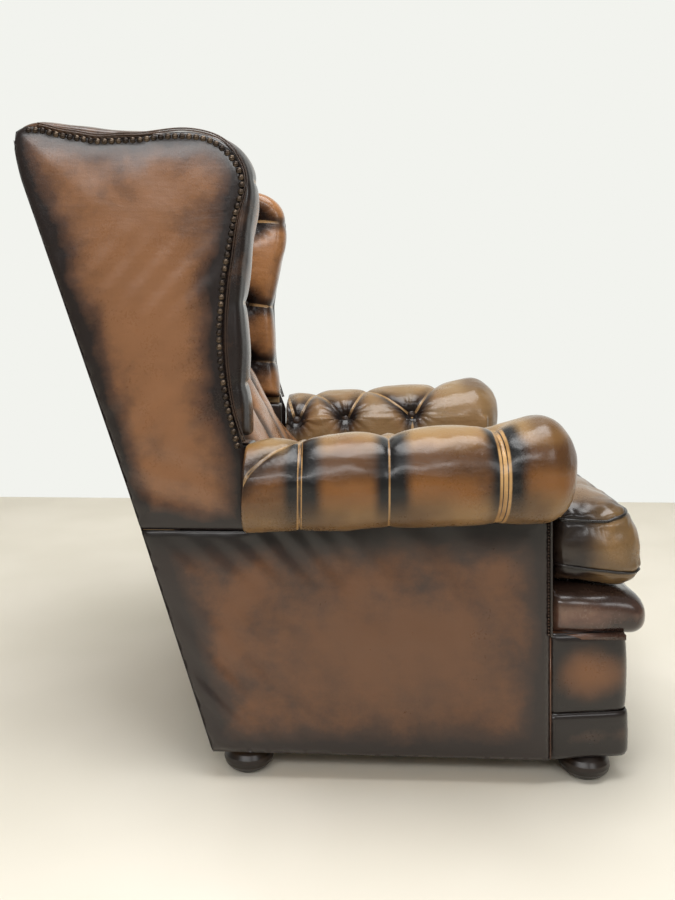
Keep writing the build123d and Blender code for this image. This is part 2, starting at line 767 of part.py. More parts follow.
def inside_wing():
    """Padding of the wing: the inside face, the border round the front and top, and the foot."""
    padding = profile(wing_outline(0), inner_x, side_x)
    padding = rounded_side(padding, inner_x, wing_inner_round)
    padding = rounded_side(padding, side_x, wing_outer_round)
    padding -= profile(wing_outline(1, grow=clear, inset=panel), seat_out_x, side_x + cut_over)
    y0 = roll_rear_y + clear
    low = [(y0, lip_z), (raked_y(lip_z, 0), lip_z)]
    high = [(raked_y(wing_foot_z, 0), wing_foot_z), (y0, wing_foot_z)]
    padding = padding + slab(low + high, inner_x, seat_out_x) - back_zone()
    cutters = []
    for place, edge in wing_button_places():
        cutters.append(pleat(place, edge, (-1, 0, 0)))
        cutters.append(pleat(edge, (side_x, edge[1], edge[2]), (0, -1, 0)))
        cutters.append(dimple(place, (-1, 0, 0)))
    return cut_all(padding, cutters)


def roll_section(y, fullness):
    """Section of the arm's padding: inside face, inner shoulder, crest, outer round and underside."""
    crest_z = roll_crest_z(y) - roll_pleat_drop * (1 - fullness)
    outer_x = roll_outer_x - roll_taper * roll_share(y) - roll_pleat_nip * (1 - fullness)
    under_z = roll_under_z(y)
    shoulder = (inner_x, roll_crest_z(y) - roll_shoulder)
    crest = (roll_crest_x, crest_z)
    outer = (outer_x, (roll_crest_z(y) + under_z) / 2)
    under = (roll_crest_x, under_z)
    edges = [
        Line((inner_x, lip_z), shoulder),
        quarter(shoulder, crest, True),
        quarter(crest, outer, False),
        quarter(outer, under, True),
        Line(under, (seat_out_x, under_z)),
        Line((seat_out_x, under_z), (seat_out_x, lip_z)),
        Line((seat_out_x, lip_z), (inner_x, lip_z)),
    ]
    return make_face(Plane.XZ.offset(-y) * (Curve() + edges))


def roll_sections():
    """Sections through the swells between the pleats, from behind the nose to the rear end."""
    start = (panel_front_y + clear - roll_front_y) / roll_length
    marks = (start,) + roll_pleat_shares + (1 - clear / roll_length,)
    sections = []
    for number, (low, high) in enumerate(zip(marks, marks[1:])):
        last = number == len(roll_pleat_shares)
        for place, size in zip(swell_place_shares, swell_size_shares):
            if place == 0 and number:
                continue
            at_end = (number == 0 and place == 0) or (last and place == 1)
            share = low + place * (high - low)
            sections.append(roll_section(roll_front_y + share * roll_length, 1 if at_end else size))
    return sections


def nose_section(share, size):
    """Rounded section of the nose, this share of the way back from its tip."""
    y = roll_front_y + share * (roll_nose + clear)
    middle_z = (roll_crest_z(y) + roll_under_z(y)) / 2
    half_z = size * (roll_crest_z(y) - roll_under_z(y)) / 2
    middle_x = (inner_x + nose_inset + roll_outer_x) / 2
    half_x = size * (roll_outer_x - inner_x - nose_inset) / 2
    right, left = (middle_x + half_x, middle_z), (middle_x - half_x, middle_z)
    top, low = (middle_x, middle_z + half_z), (middle_x, middle_z - half_z)
    edges = [
        quarter(right, top, True),
        quarter(top, left, False),
        quarter(left, low, True),
        quarter(low, right, False),
    ]
    return make_face(Plane.XZ.offset(-y) * (Curve() + edges))


def shoulder_point(y, angle):
    """Point on the arm's inner shoulder, this many degrees up from its inside face."""
    turn = math.radians(angle)
    x = roll_crest_x - (roll_crest_x - inner_x) * math.cos(turn)
    z = roll_crest_z(y) - roll_shoulder * (1 - math.sin(turn))
    return (x, y, z)


def shoulder_outward(angle):
    turn = math.radians(angle)
    return (-math.cos(turn), 0, math.sin(turn))


def arm_button_places():
    marks = roll_pleat_shares + (1.0,)
    middles = [(low + high) / 2 for low, high in zip(marks, marks[1:])]
    return [shoulder_point(roll_front_y + share * roll_length, arm_button_angle) for share in middles]


def arm_pleats():
    """Pleats that fan from each arm button up to the crest's two pleats beside it."""
    cutters = []
    for (low, high), place in zip(zip(roll_pleat_shares, roll_pleat_shares[1:] + (None,)), arm_button_places()):
        for share in (low, high):
            if share is None:
                continue
            end_y = roll_front_y + share * roll_length
            first, last = arm_pleat_angles[0], arm_pleat_angles[-1]
            for start, end in zip(arm_pleat_angles, arm_pleat_angles[1:]):
                spread = [(angle - first) / (last - first) for angle in (start, end)]
                ys = [place[1] + part * (end_y - place[1]) for part in spread]
                points = [shoulder_point(y, angle) for y, angle in zip(ys, (start, end))]
                cutters.append(pleat(points[0], points[1], shoulder_outward((start + end) / 2)))
    return cutters


def arm_roll():
    """Padding of the arm: the roll with its nose, and the inside face down to the seat frame."""
    body = loft(roll_sections(), ruled=True)
    nose = loft([nose_section(*pair) for pair in zip(nose_place_shares, nose_size_shares)], ruled=True)
    padding = body + nose - arm_board(grow=clear) - arm_stump(grow=clear)
    dimples = [dimple(place, shoulder_outward(arm_button_angle)) for place in arm_button_places()]
    return cut_all(padding, arm_pleats() + dimples)


def both_sides(shapes):
    return Compound(children=list(shapes) + [mirror(shape, about=Plane.YZ) for shape in shapes])


# Seat cushion
def soft_outline(corners, radii, draws, z):
    """Closed level outline. Its corners are rounded, and its sides bow in by the given draws."""
    corners = [Vector(x, y, z) for x, y in corners]
    count = len(corners)
    ways = [(corners[(i + 1) % count] - corners[i]).normalized() for i in range(count)]
    edges = []
    for i in range(count):
        follow = (i + 1) % count
        start = corners[i] + ways[i] * radii[i]
        end = corners[follow] - ways[i] * radii[follow]
        inward = Vector(0, 0, 1).cross(ways[i])
        if draws[i]:
            edges.append(ThreePointArc(start, (start + end) / 2 + inward * draws[i], end))
        else:
            edges.append(Line(start, end))
        leave = corners[follow] + ways[follow] * radii[follow]
        middle = corners[follow] + (ways[follow] - ways[i]) * radii[follow] * (1 - diagonal)
        edges.append(ThreePointArc(end, middle, leave))
    return make_face(Curve() + edges)


def cushion_section(height_share, inset_share, lean_share):
    """T-shaped section of the cushion, drawn in all round by its inset."""
    inset = cushion_inset * inset_share
    front = front_y + cushion_front_inset + inset + cushion_lean * lean_share
    ear_x = side_x - cushion_ear_inset - inset
    ear_y = panel_front_y - panel - cushion_ear_gap - inset * cushion_ear_inset_share
    main_x = inner_x - cushion_gap - inset
    rear = back_foot_y - cushion_back_gap - inset
    corners = [(-ear_x, front), (ear_x, front), (ear_x, ear_y), (main_x, ear_y)]
    corners += [(main_x, rear), (-main_x, rear), (-main_x, ear_y), (-ear_x, ear_y)]
    tighten = 1 - cushion_corner_loss_share * inset_share
    big, ear, inner = (tighten * r for r in (cushion_corner, cushion_ear_corner, cushion_inner_corner))
    radii = [big, big, ear, inner, ear, ear, inner, ear]
    draws = [cushion_draw, 0, 0, cushion_draw, cushion_draw, cushion_draw, 0, 0]
    return soft_outline(corners, radii, draws, deck_z + cushion_lift + height_share * cushion_thickness)


def seat_cushion():
    """Boxed T-shaped cushion with a crowned top, whose ears reach out in front of the arms."""
    shares = zip(cushion_height_shares, cushion_inset_shares, cushion_lean_shares)
    return loft([cushion_section(*row) for row in shares], ruled=True)


def write_frame():
    write("front_rail", front_rail())
    write("rear_rail", rear_rail())
    write_pair("side_rail", side_rail())
    write("corner_blocks", corner_blocks())
    write_pair("arm_stump", arm_stump())
    write_pair("tack_strip", tack_strip())
    write_pair("back_post", back_post())
    write_pair("arm_board", arm_board())
    write("stay_rail", stay_rail())
    write("crest_rail", crest_rail())
    write_pair("wing_post", wing_post())
    write_pair("wing_rail", wing_rail())
    for name, (x, y) in foot_places().items():
        write(f"foot_{name}", Pos(x, y, 0) * foot())
    write("foot_bolts", foot_bolts())


def write_seat():
    write("seat_springs", seat_springs())
    write("spring_clips", spring_clips())
    write("seat_platform", seat_platform())
    write("back_webbing", back_webbing())
    write("dust_cover", dust_cover())
    write("seat_cushion", seat_cushion())


def write_covers():
    write("plinth_band", block_cover(foot_height, foot_height + band_height, band_proud))
    write("front_border", block_cover(foot_height + band_height + clear, lip_z - clear, 0))
    write("front_lip", front_lip())
    write_pair("arm_facing", arm_facing())
    write_pair("outside_arm", outside_arm())
    write_pair("outside_wing", outside_wing())
    write("outside_back", outside_back())


def write_padding():
    write("inside_back", inside_back())
    write_pair("inside_wing", inside_wing())
    write_pair("arm_roll", arm_roll())
    outward = back_outward()
    write("back_buttons", Compound(children=[button(p, outward) for row in back_button_places() for p in row]))
    write("wing_buttons", both_sides([button(place, (-1, 0, 0)) for place, _ in wing_button_places()]))
    arm_outward = shoulder_outward(arm_button_angle)
    write("arm_buttons", both_sides([button(place, arm_outward) for place in arm_button_places()]))


write_frame()
write_seat()
write_covers()
write_padding()
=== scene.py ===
# %% [markdown]
# # A buttoned leather wing armchair
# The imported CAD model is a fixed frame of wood, springs, feet and plain soft solids. Here each soft
# solid gets the cover that an upholsterer would put over it: puffed panels, buttoned padding, welts
# and brass nails, all in antiqued leather. Lengths are millimetres until a mesh is made, as in the
# workshop drawing, and every mesh is then scaled to metres. Left is the sitter's left, +X.

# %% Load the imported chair
import math
import time

import bpy
import numpy as np
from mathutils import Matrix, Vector
from mathutils.bvhtree import BVHTree
from mathutils.geometry import delaunay_2d_cdt


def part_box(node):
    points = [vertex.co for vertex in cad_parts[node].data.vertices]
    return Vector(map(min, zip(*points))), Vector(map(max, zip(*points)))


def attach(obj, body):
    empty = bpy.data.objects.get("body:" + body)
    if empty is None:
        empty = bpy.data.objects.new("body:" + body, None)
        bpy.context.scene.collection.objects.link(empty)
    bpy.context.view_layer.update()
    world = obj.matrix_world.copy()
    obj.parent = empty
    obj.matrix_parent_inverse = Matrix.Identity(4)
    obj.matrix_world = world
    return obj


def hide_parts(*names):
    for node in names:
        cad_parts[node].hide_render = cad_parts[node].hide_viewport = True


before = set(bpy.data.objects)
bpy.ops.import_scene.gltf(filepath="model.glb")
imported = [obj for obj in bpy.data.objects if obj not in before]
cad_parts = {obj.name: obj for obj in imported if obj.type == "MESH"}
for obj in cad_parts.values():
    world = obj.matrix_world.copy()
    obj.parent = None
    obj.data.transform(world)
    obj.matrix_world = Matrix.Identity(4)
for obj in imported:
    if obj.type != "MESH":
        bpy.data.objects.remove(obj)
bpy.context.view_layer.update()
started = time.time()
sides = (("left", 1), ("right", -1))

# %% [markdown]
# ## Camera
# The picture was taken from a little above the arms, almost square to the chair's right side, with
# the verticals kept upright. A level camera with a little vertical shift keeps them upright too;
# tilting it would make the back lean in the picture.

# %% Camera
def placed(name, data):
    """A new object of the scene, showing the data."""
    thing = bpy.data.objects.new(name, data)
    bpy.context.scene.collection.objects.link(thing)
    return thing


def looking(along):
    """The turn of a camera or lamp that points along a direction."""
    return Vector(along).to_track_quat("-Z", "Y").to_euler()


lens = bpy.data.cameras.new("side_view")
lens.lens, lens.sensor_width, lens.clip_start = 32.4, 36.0, 0.05
lens.shift_x, lens.shift_y = 0.0154, -0.149
camera = placed("side_view", lens)
camera.location = (-1.533, -0.0405, 0.693)
swing = math.radians(2.2)
camera.rotation_euler = looking((math.cos(swing), math.sin(swing), 0.0))
bpy.context.scene.camera = camera
bpy.context.scene.view_settings.view_transform = "Standard"
print("camera at", tuple(camera.location))

# %% [markdown]
# ## Shader arithmetic
# A leather finish is mostly sums: so much of this noise, less near a pleat, more on a swell. Wiring
# that by hand hides the sum in a web of nodes. This small class lets the sum be written as Python,
# and each operator adds the Math node that does it.

# %% Shader values that take part in sums
def by_math(operation):
    """A method that adds a Math node for its operator."""
    return lambda self, *others: self.math(operation, *others)


class Value:
    """One output of a node. Arithmetic on it adds Math nodes to the same finish."""

    def __init__(self, finish, socket):
        self.finish, self.socket = finish, socket

    def math(self, operation, *others, clamp=False):
        return self.finish.math(operation, self, *others, clamp=clamp)

    __add__ = __radd__ = by_math("ADD")
    __mul__ = __rmul__ = by_math("MULTIPLY")
    __sub__, __truediv__ = by_math("SUBTRACT"), by_math("DIVIDE")
    __pow__, __abs__ = by_math("POWER"), by_math("ABSOLUTE")

    def __rsub__(self, other):
        return self.finish.math("SUBTRACT", other, self)

    def clamped(self):
        return self.math("ADD", 0.0, clamp=True)

    def step(self, low, high):
        """0 below low, 1 above high and an even curve between; low may be the larger."""
        ends = {"Value": self, "From Min": low, "From Max": high}
        return self.finish.node("ShaderNodeMapRange", {"interpolation_type": "SMOOTHSTEP"}, ends)


def tone(red, green, blue):
    """A colour as a paint chart gives it, 0 to 255, made linear for the shader."""
    chart = [v / 255 for v in (red, green, blue)]
    return tuple(v / 12.92 if v <= 0.04045 else ((v + 0.055) / 1.055) ** 2.4 for v in chart)


class Finish:
    """A material under construction. Its colours are given as on a paint chart."""

    def __init__(self, name):
        self.material = bpy.data.materials.new(name)
        self.material.use_nodes = True
        self.tree = self.material.node_tree
        self.tree.nodes.clear()
        self.place = self.node("ShaderNodeTexCoord", output="Object")

    def node(self, kind, settings=(), sockets=(), output=0):
        """Adds a node: its settings first, then the values or links of its sockets."""
        node = self.tree.nodes.new(kind)
        for key, value in dict(settings).items():
            setattr(node, key, value)
        for key, value in dict(sockets).items():
            socket = node.inputs[key]
            if isinstance(value, Value):
                self.tree.links.new(value.socket, socket)
            else:
                socket.default_value = (*tone(*value), 1.0) if socket.type == "RGBA" else value
        return Value(self, node.outputs[output]) if node.outputs else node

    def math(self, operation, *values, clamp=False):
        return self.node("ShaderNodeMath", {"operation": operation, "use_clamp": clamp}, enumerate(values))

    def ramp(self, amount, stops):
        """Colours, already linear, along an amount from 0 to 1."""
        ramp = self.node("ShaderNodeValToRGB", sockets={0: amount})
        elements = ramp.socket.node.color_ramp.elements
        while len(elements) < len(stops):
            elements.new(0.5)
        for element, (position, colour) in zip(elements, stops):
            element.position, element.color = position, (*colour, 1.0)
        return ramp

    def axes(self):
        """X, Y and Z of the place on the chair, in millimetres."""
        split = self.node("ShaderNodeSeparateXYZ", sockets={0: self.place}).socket.node
        return [Value(self, split.outputs[i]) * 1000.0 for i in range(3)]

    def scaled(self, *scale):
        return self.node("ShaderNodeMapping", sockets={"Vector": self.place, "Scale": scale})

    def noise(self, scale, detail=2.0, rough=0.5, place=None, warp=0.0):
        sockets = {"Vector": place or self.place, "Scale": scale}
        sockets.update({"Detail": detail, "Roughness": rough, "Distortion": warp})
        return self.node("ShaderNodeTexNoise", sockets=sockets)

    def stray(self, reach, scale, detail=2.0, **more):
        """Noise about 0, up to half of reach either way."""
        return (self.noise(scale, detail, **more) - 0.5) * reach

    def cells(self, scale):
        sockets = {"Vector": self.place, "Scale": scale}
        return self.node("ShaderNodeTexVoronoi", {"feature": "DISTANCE_TO_EDGE"}, sockets)

    def stored(self, name):
        """A number that the piece carries on its points."""
        return self.node("ShaderNodeAttribute", {"attribute_name": name}, output="Fac")

    def mix(self, first, second, factor):
        return self.node("ShaderNodeMix", {"data_type": "RGBA"}, {0: factor, 6: first, 7: second}, output=2)

    def layered(self, colour, *layers):
        """Lays paints over a colour, one after the other, each through its own mask."""
        for paint, mask in layers:
            colour = self.mix(colour, paint, mask)
        return colour

    def bump(self, height, distance, strength, below=None):
        sockets = {"Height": height, "Distance": distance, "Strength": strength}
        if below is not None:
            sockets["Normal"] = below
        return self.node("ShaderNodeBump", sockets=sockets)

    def shown(self, surface):
        """Ends the tree with its surface and gives the material."""
        self.tree.links.new(surface.socket, self.node("ShaderNodeOutputMaterial").inputs["Surface"])
        return self.material

    def done(self, colour, roughness, normal=None, **constants):
        sockets = {"Base Color": colour, "Roughness": roughness}
        if normal is not None:
            sockets["Normal"] = normal
        sockets.update({key.replace("_", " "): value for key, value in constants.items()})
        return self.shown(self.node("ShaderNodeBsdfPrincipled", sockets=sockets))


print("shader helpers ready")

# %% [markdown]
# ## Studio
# A pale warm floor runs back to a pale wall. The wall shows its own colour to the camera and to
# reflections, so that it stays plain whatever the lamps do; the floor is a real matt surface, because
# it has to keep the chair's shadow. One large soft lamp hangs over the chair, a long high one makes
# the streaks of light on the leather, and a weak one stands beside the camera.

# %% Floor and wall
def plain_sheet(name, corners, material):
    mesh = bpy.data.meshes.new(name)
    mesh.from_pydata(corners, [], [tuple(range(len(corners)))])
    mesh.materials.append(material)
    placed(name, mesh)


def oblong(half_width, low, high):
    return [(-half_width, low), (half_width, low), (half_width, high), (-half_width, high)]


half_room, wall_x, wall_top = 6, 1.52, 4
wall_tone = (242, 243, 238)

floor_finish = Finish("studio_floor")
floor_colour = floor_finish.mix((232, 227, 213), (238, 233, 220), floor_finish.noise(3.0).step(0.3, 0.7))
floor_material = floor_finish.done(floor_colour, 0.6, Specular_IOR_Level=0.2)
plain_sheet("studio_floor", [(x, y, 0) for x, y in oblong(half_room, -half_room, half_room)], floor_material)

wall_finish = Finish("studio_wall")
seen = wall_finish.node("ShaderNodeLightPath", output="Is Camera Ray")
mirrored = Value(wall_finish, seen.socket.node.outputs["Is Glossy Ray"])
glow = wall_finish.node("ShaderNodeEmission", sockets={"Color": wall_tone, "Strength": 1.0})
matt = wall_finish.node("ShaderNodeBsdfDiffuse", sockets={"Color": (225, 225, 220)})
lit_wall = wall_finish.node("ShaderNodeMixShader", sockets={0: (seen + mirrored).clamped(), 1: matt, 2: glow})
wall_material = wall_finish.shown(lit_wall)
plain_sheet("studio_wall", [(wall_x, y, z) for y, z in oblong(half_room, 0, wall_top)], wall_material)
print("wall", wall_x, "m from the chair's middle, both sheets", 2 * half_room, "m wide")

# %% Soft light of the room and the lamps
world = bpy.data.worlds.new("soft_room")
bpy.context.scene.world = world
world.use_nodes = True
room, links = world.node_tree.nodes, world.node_tree.links
lit, pale = room["Background"], room.new("ShaderNodeBackground")
lit.inputs["Color"].default_value = (*tone(242, 234, 222), 1.0)
lit.inputs["Strength"].default_value = 0.3
pale.inputs["Color"].default_value = (*tone(*wall_tone), 1.0)
ray, mixed = room.new("ShaderNodeLightPath"), room.new("ShaderNodeMixShader")
links.new(ray.outputs["Is Camera Ray"], mixed.inputs[0])
links.new(lit.outputs[0], mixed.inputs[1])
links.new(pale.outputs[0], mixed.inputs[2])
links.new(mixed.outputs[0], room["World Output"].inputs["Surface"])


def soft_lamp(name, place, aim, size, power):
    light = bpy.data.lights.new(name, "AREA")
    light.shape, light.size, light.size_y = "RECTANGLE", *size
    light.energy = power
    lamp = placed(name, light)
    lamp.location = place
    lamp.rotation_euler = looking(Vector(aim) - Vector(place))


soft_lamp("overhead", (-0.5, -0.05, 2.9), (0, 0.1, 0.4), (2.0, 1.7), 74)
soft_lamp("high_window", (-2.7, 0.6, 1.87), (0, 0.1, 0.7), (2.2, 0.36), 27)
soft_lamp("beside_camera", (-2.6, -1.6, 1.7), (0, 0, 0.5), (0.9, 0.9), 12)
print("lamps", sorted(light.name for light in bpy.data.lights))

# %% [markdown]
# ## Workshop curves
# Everything on a chair follows a few curves: the wing's edge, the rake of the back, the crest of the
# arm. They are kept here as functions of height or depth, with the workshop's numbers, and are used
# for padding, panels, piping and nails alike, so that these lie on each other by themselves.

# %% Faces, rake and arm curves
outside_face, inside_face, panel_back = 334.0, 255.0, 331.0
nose_y, arm_rear = -358.0, 118.0
rake = math.radians(17.9)


def raked_y(z, inset=0.0):
    return 471.0 - (965.0 - z) * math.tan(rake) - inset / math.cos(rake)


def rear_y(z, inset=0.0):
    """The covered back bows out a little over its straight posts."""
    bow = np.interp(z, (44, 418, 837, 898, 928, 958, 990), (0, 1.5, 11.8, 13.8, 11.6, 7.0, 0.0))
    return raked_y(z, inset) + float(bow)


def arm_slope(y, drop):
    """What an arm's line has dropped by at y, of its whole drop from nose to rear."""
    return (y - nose_y) / (arm_rear - nose_y) * drop


def crest_z(y):
    return 547.5 - arm_slope(y, 35.0)


def under_z(y):
    return 407.0 - arm_slope(y, 20.0)


def outer_x(y):
    return 427.5 - arm_slope(y, 6.0)


wing_edge = [(122, 510), (126.5, 610), (129, 714), (123, 800), (112, 875), (114, 913), (132, 946),
             (160, 965), (200.5, 974), (260, 975.5), (321, 978), (380, 985), (430, 991), (455, 988),
             (469, 980), (475, 966)]
panel_edge = [(128, 505), (144, 560), (152, 620), (154, 680), (150, 739), (143, 790), (136, 840), (125, 884),
              (126, 906), (134, 926), (148, 945), (167, 958), (194, 966), (224, 968), (279, 962), (307, 962),
              (344, 960), (374, 965), (403, 970), (432, 977), (455, 978), (470, 970)]
nail_line = [(134, 500), (149, 559), (156, 599), (160, 630), (161, 662), (161, 684), (158, 715), (157, 739),
             (152, 769), (146, 801), (137, 845), (128, 880), (129, 901), (138, 922), (153, 939), (171, 952),
             (195, 959), (223, 961), (249, 960), (279, 956), (307, 955), (344, 954), (374, 959), (403, 964),
             (429, 971), (449, 972)]
print("the arm's crest falls from", crest_z(nose_y), "to", crest_z(arm_rear), "mm")

# %% [markdown]
# ## Lines and meshes
# The rest is made of a few plain operations: even points along a line, the distance from a line, a
# skin over a stack of sections, and one even skin over several forms. A piece keeps the numbers that
# its finish needs, such as the distance to a pleat, on its own points.

# %% Lines
def closed(line):
    return np.vstack([line, line[:1]])


def at_x(x, ring):
    """A flat ring of Y and Z stood up at a width."""
    return np.column_stack([np.full(len(ring), x), ring])


def level(points):
    return np.column_stack([points, np.zeros(len(points))])


def unit(number):
    return np.clip(number, 0, 1)


def bell(distance, width, power=2):
    """1 at no distance, falling smoothly to 0 past the width."""
    return np.exp(-((distance / width) ** power))


def even_line(points, step, loop=False):
    points = np.array(points, float)
    along = np.concatenate([[0], np.cumsum(np.linalg.norm(np.diff(points, axis=0), axis=1))])
    count = max(int(round(along[-1] / step)), 2)
    marks = np.linspace(0, along[-1], count + 1)
    line = np.stack([np.interp(marks, along, points[:, k]) for k in range(points.shape[1])], axis=1)
    return line[:-1] if loop else line


def smooth_line(points, step):
    """Even points along a smooth curve that passes through the given ones."""
    points = np.array(points, float)
    last = len(points) - 1
    t = np.linspace(0, 1, 24, endpoint=False)[:, None]
    dense = []
    for i in range(last):
        a, b, c, d = (points[min(max(j, 0), last)] for j in range(i - 1, i + 3))
        gap = np.linalg.norm(c - b)
        first = (c - a) * gap / max(gap + np.linalg.norm(b - a), 1e-6)
        second = (d - b) * gap / max(np.linalg.norm(d - c) + gap, 1e-6)
        ends = (2 * t**3 - 3 * t**2 + 1) * b + (t**3 - 2 * t**2 + t) * first
        dense.append(ends + (3 * t**2 - 2 * t**3) * c + (t**3 - t**2) * second)
    return even_line(np.vstack(dense + [points[-1:]]), step)


def distance_to_line(points, line):
    """Least distance of each point from a line of straight runs."""
    line = np.array(line, float)
    best = np.full(len(points), 1e9)
    for a, b in zip(line, line[1:]):
        run = b - a
        share = unit((points - a) @ run / max(run @ run, 1e-9))
        best = np.minimum(best, np.linalg.norm(points - a - share[:, None] * run, axis=1))
    return best


def nearest_line(points, lines):
    return np.min([distance_to_line(points, line) for line in lines], axis=0)


def nearest_place(points, places):
    return np.min([np.linalg.norm(points - place, axis=1) for place in places], axis=0)


def inside_of(polygon, points):
    """Whether each point lies inside a closed outline."""
    x, y = points[:, 0], points[:, 1]
    inside = np.zeros(len(points), bool)
    for (x0, y0), (x1, y1) in zip(polygon, np.roll(polygon, -1, axis=0)):
        if y0 != y1:
            crosses = ((y0 > y) != (y1 > y)) & (x < (x1 - x0) * (y - y0) / (y1 - y0) + x0)
            inside ^= crosses
    return inside


def shrunk(outline, amount):
    """A closed outline moved in by an amount along its own normals."""
    ahead, behind = np.roll(outline, -1, axis=0), np.roll(outline, 1, axis=0)
    along = ahead - behind
    normal = np.column_stack([-along[:, 1], along[:, 0]]) / np.linalg.norm(along, axis=1)[:, None]
    area = 0.5 * np.sum(outline[:, 0] * ahead[:, 1] - ahead[:, 0] * outline[:, 1])
    return outline + normal * amount * (1 if area > 0 else -1)


def cut_corner(before, here, after, radius, count):
    """Points that round one corner of a line."""
    a = here + (before - here) / np.linalg.norm(before - here) * radius
    b = here + (after - here) / np.linalg.norm(after - here) * radius
    return [(1 - t) ** 2 * a + 2 * t * (1 - t) * here + t**2 * b for t in np.linspace(0, 1, count)]


print("even line", even_line([(0, 0), (30, 0), (30, 10)], 10.0).tolist())


# %% Closed forms
def rounding(x, across, inset, degrees):
    """Widths and insets of the sections that round the end of a form."""
    return [(x + across * (1 - math.cos(t)), inset * (1 - math.sin(t))) for t in np.radians(degrees)]


def loop_faces(rows, columns, loop=False):
    """Quads over rows of closed rings, whose row r and column c is point r * columns + c."""
    faces = []
    for r in range(rows if loop else rows - 1):
        for c in range(columns):
            d, e = (r + 1) % rows, (c + 1) % columns
            faces.append((r * columns + c, r * columns + e, d * columns + e, d * columns + c))
    return faces


def tube_form(sections):
    """Closed skin over a stack of closed sections with equal numbers of points."""
    sections = [np.array(s, float) for s in sections]
    columns = len(sections[0])
    faces = loop_faces(len(sections), columns)
    faces.append(tuple(range(columns))[::-1])
    faces.append(tuple((len(sections) - 1) * columns + i for i in range(columns)))
    return np.vstack(sections), faces


def box_form(low, high):
    (x0, y0, z0), (x1, y1, z1) = low, high
    return tube_form([[(x0, y0, z), (x1, y0, z), (x1, y1, z), (x0, y1, z)] for z in (z0, z1)])


def faced_outwards(points, faces):
    """The same faces, turned round if the closed skin was inside out."""
    volume = 0.0
    for face in faces:
        a = points[face[0]]
        for b, c in zip(face[1:], face[2:]):
            volume += np.dot(a, np.cross(points[b], points[c]))
    return faces if volume > 0 else [tuple(reversed(face)) for face in faces]


def joined(forms):
    """Several closed forms as one set of points and faces, each facing outwards."""
    points, faces, start = [], [], 0
    for form_points, form_faces in forms:
        points.append(form_points)
        faces += [tuple(i + start for i in face) for face in faced_outwards(form_points, form_faces)]
        start += len(form_points)
    return np.vstack(points), faces


print("a box has", len(box_form((0, 0, 0), (1, 1, 1))[1]), "faces")


# %% Pieces
def add_piece(name, points, faces):
    """A mesh piece from points in millimetres."""
    mesh = bpy.data.meshes.new(name)
    metres = (np.array(points, float) / 1000.0).tolist()
    mesh.from_pydata(metres, [], [list(map(int, face)) for face in faces])
    mesh.update()
    mesh.shade_smooth()
    return placed(name, mesh)


def form_piece(name, forms):
    return add_piece(name, *joined(forms))


def points_of(piece):
    flat = np.empty(len(piece.data.vertices) * 3)
    piece.data.vertices.foreach_get("co", flat)
    return flat.reshape(-1, 3) * 1000.0


def normals_of(piece):
    flat = np.empty(len(piece.data.vertices) * 3)
    piece.data.vertex_normals.foreach_get("vector", flat)
    return flat.reshape(-1, 3)


def set_points(piece, points):
    piece.data.vertices.foreach_set("co", (points / 1000.0).ravel())
    piece.data.update()


def keep(piece, name, numbers):
    """Stores one number for each point, for the piece's finish to read."""
    stored = piece.data.attributes.new(name, "FLOAT", "POINT")
    stored.data.foreach_set("value", np.asarray(numbers, float))


def mirrored_piece(piece):
    """The left piece again on the right side of the chair, with its faces turned outwards."""
    name = piece.name.replace("_left", "_right")
    mesh = piece.data.copy()
    mesh.name = name
    twin = placed(name, mesh)
    set_points(twin, points_of(piece) * (-1, 1, 1))
    mesh.flip_normals()
    return twin


def applied(piece):
    """Makes what a piece's modifiers show into its own mesh."""
    shaped = bpy.data.meshes.new_from_object(piece.evaluated_get(bpy.context.evaluated_depsgraph_get()))
    piece.modifiers.clear()
    piece.data = shaped
    shaped.name = piece.name
    return piece


def even_skin(name, forms, voxel):
    """One skin of even quads over several closed forms that overlap."""
    piece = form_piece(name, forms)
    remesh = piece.modifiers.new("even", "REMESH")
    remesh.mode, remesh.voxel_size, remesh.use_smooth_shade = "VOXEL", voxel / 1000.0, True
    return applied(piece)


def relax(piece, rounds, share=0.5):
    """Evens out a skin: each point moves part of the way to the middle of its neighbours."""
    points = points_of(piece)
    edges = np.empty(len(piece.data.edges) * 2, int)
    piece.data.edges.foreach_get("vertices", edges)
    a, b = edges[::2], edges[1::2]
    count = np.maximum(np.bincount(edges, minlength=len(points)), 1)[:, None]
    for _ in range(rounds):
        sums = [np.bincount(a, p[b], len(p)) + np.bincount(b, p[a], len(p)) for p in points.T]
        points += share * (np.stack(sums, axis=1) / count - points)
    set_points(piece, points)


print("mesh helpers ready at", round(time.time() - started, 1), "s")

# %% [markdown]
# ## Buttoning
# A button pulls the leather down to the frame, and the spare leather between two buttons folds into a
# pleat. Between pleats the padding swells like a pillow: round on top and steep where it dives into
# the fold. So the skin is pressed in by how near each point is to the nearest pleat and button, along
# a quarter circle, and fine gathers run out from each button. Cutting grooves would leave flat tops.

# %% Pillows, gathers and ripples
def pillow(near):
    """0 in the fold, 1 on top, round between; near is 0 to 1."""
    return np.sqrt(1 - (1 - unit(near)) ** 2)


def gathers(points, place, outward, count, reach, depth, seed):
    """Fine folds that run out from a button."""
    outward = np.array(outward, float) / np.linalg.norm(outward)
    side = np.cross(outward, (0.3, 0.2, 0.93))
    side /= np.linalg.norm(side)
    other = np.cross(outward, side)
    away = points - place
    radius = np.linalg.norm(away, axis=1)
    angle = np.arctan2(away @ other, away @ side)
    wobble = 0.6 * np.sin(2 * angle + seed) + 0.35 * np.sin(5 * angle + 2.1 * seed)
    ridge = np.abs(np.sin(0.5 * count * angle + wobble + seed))
    fade = bell(radius, reach) * unit((radius - 6) / 10)
    return depth * fade * (1 - ridge) ** 2


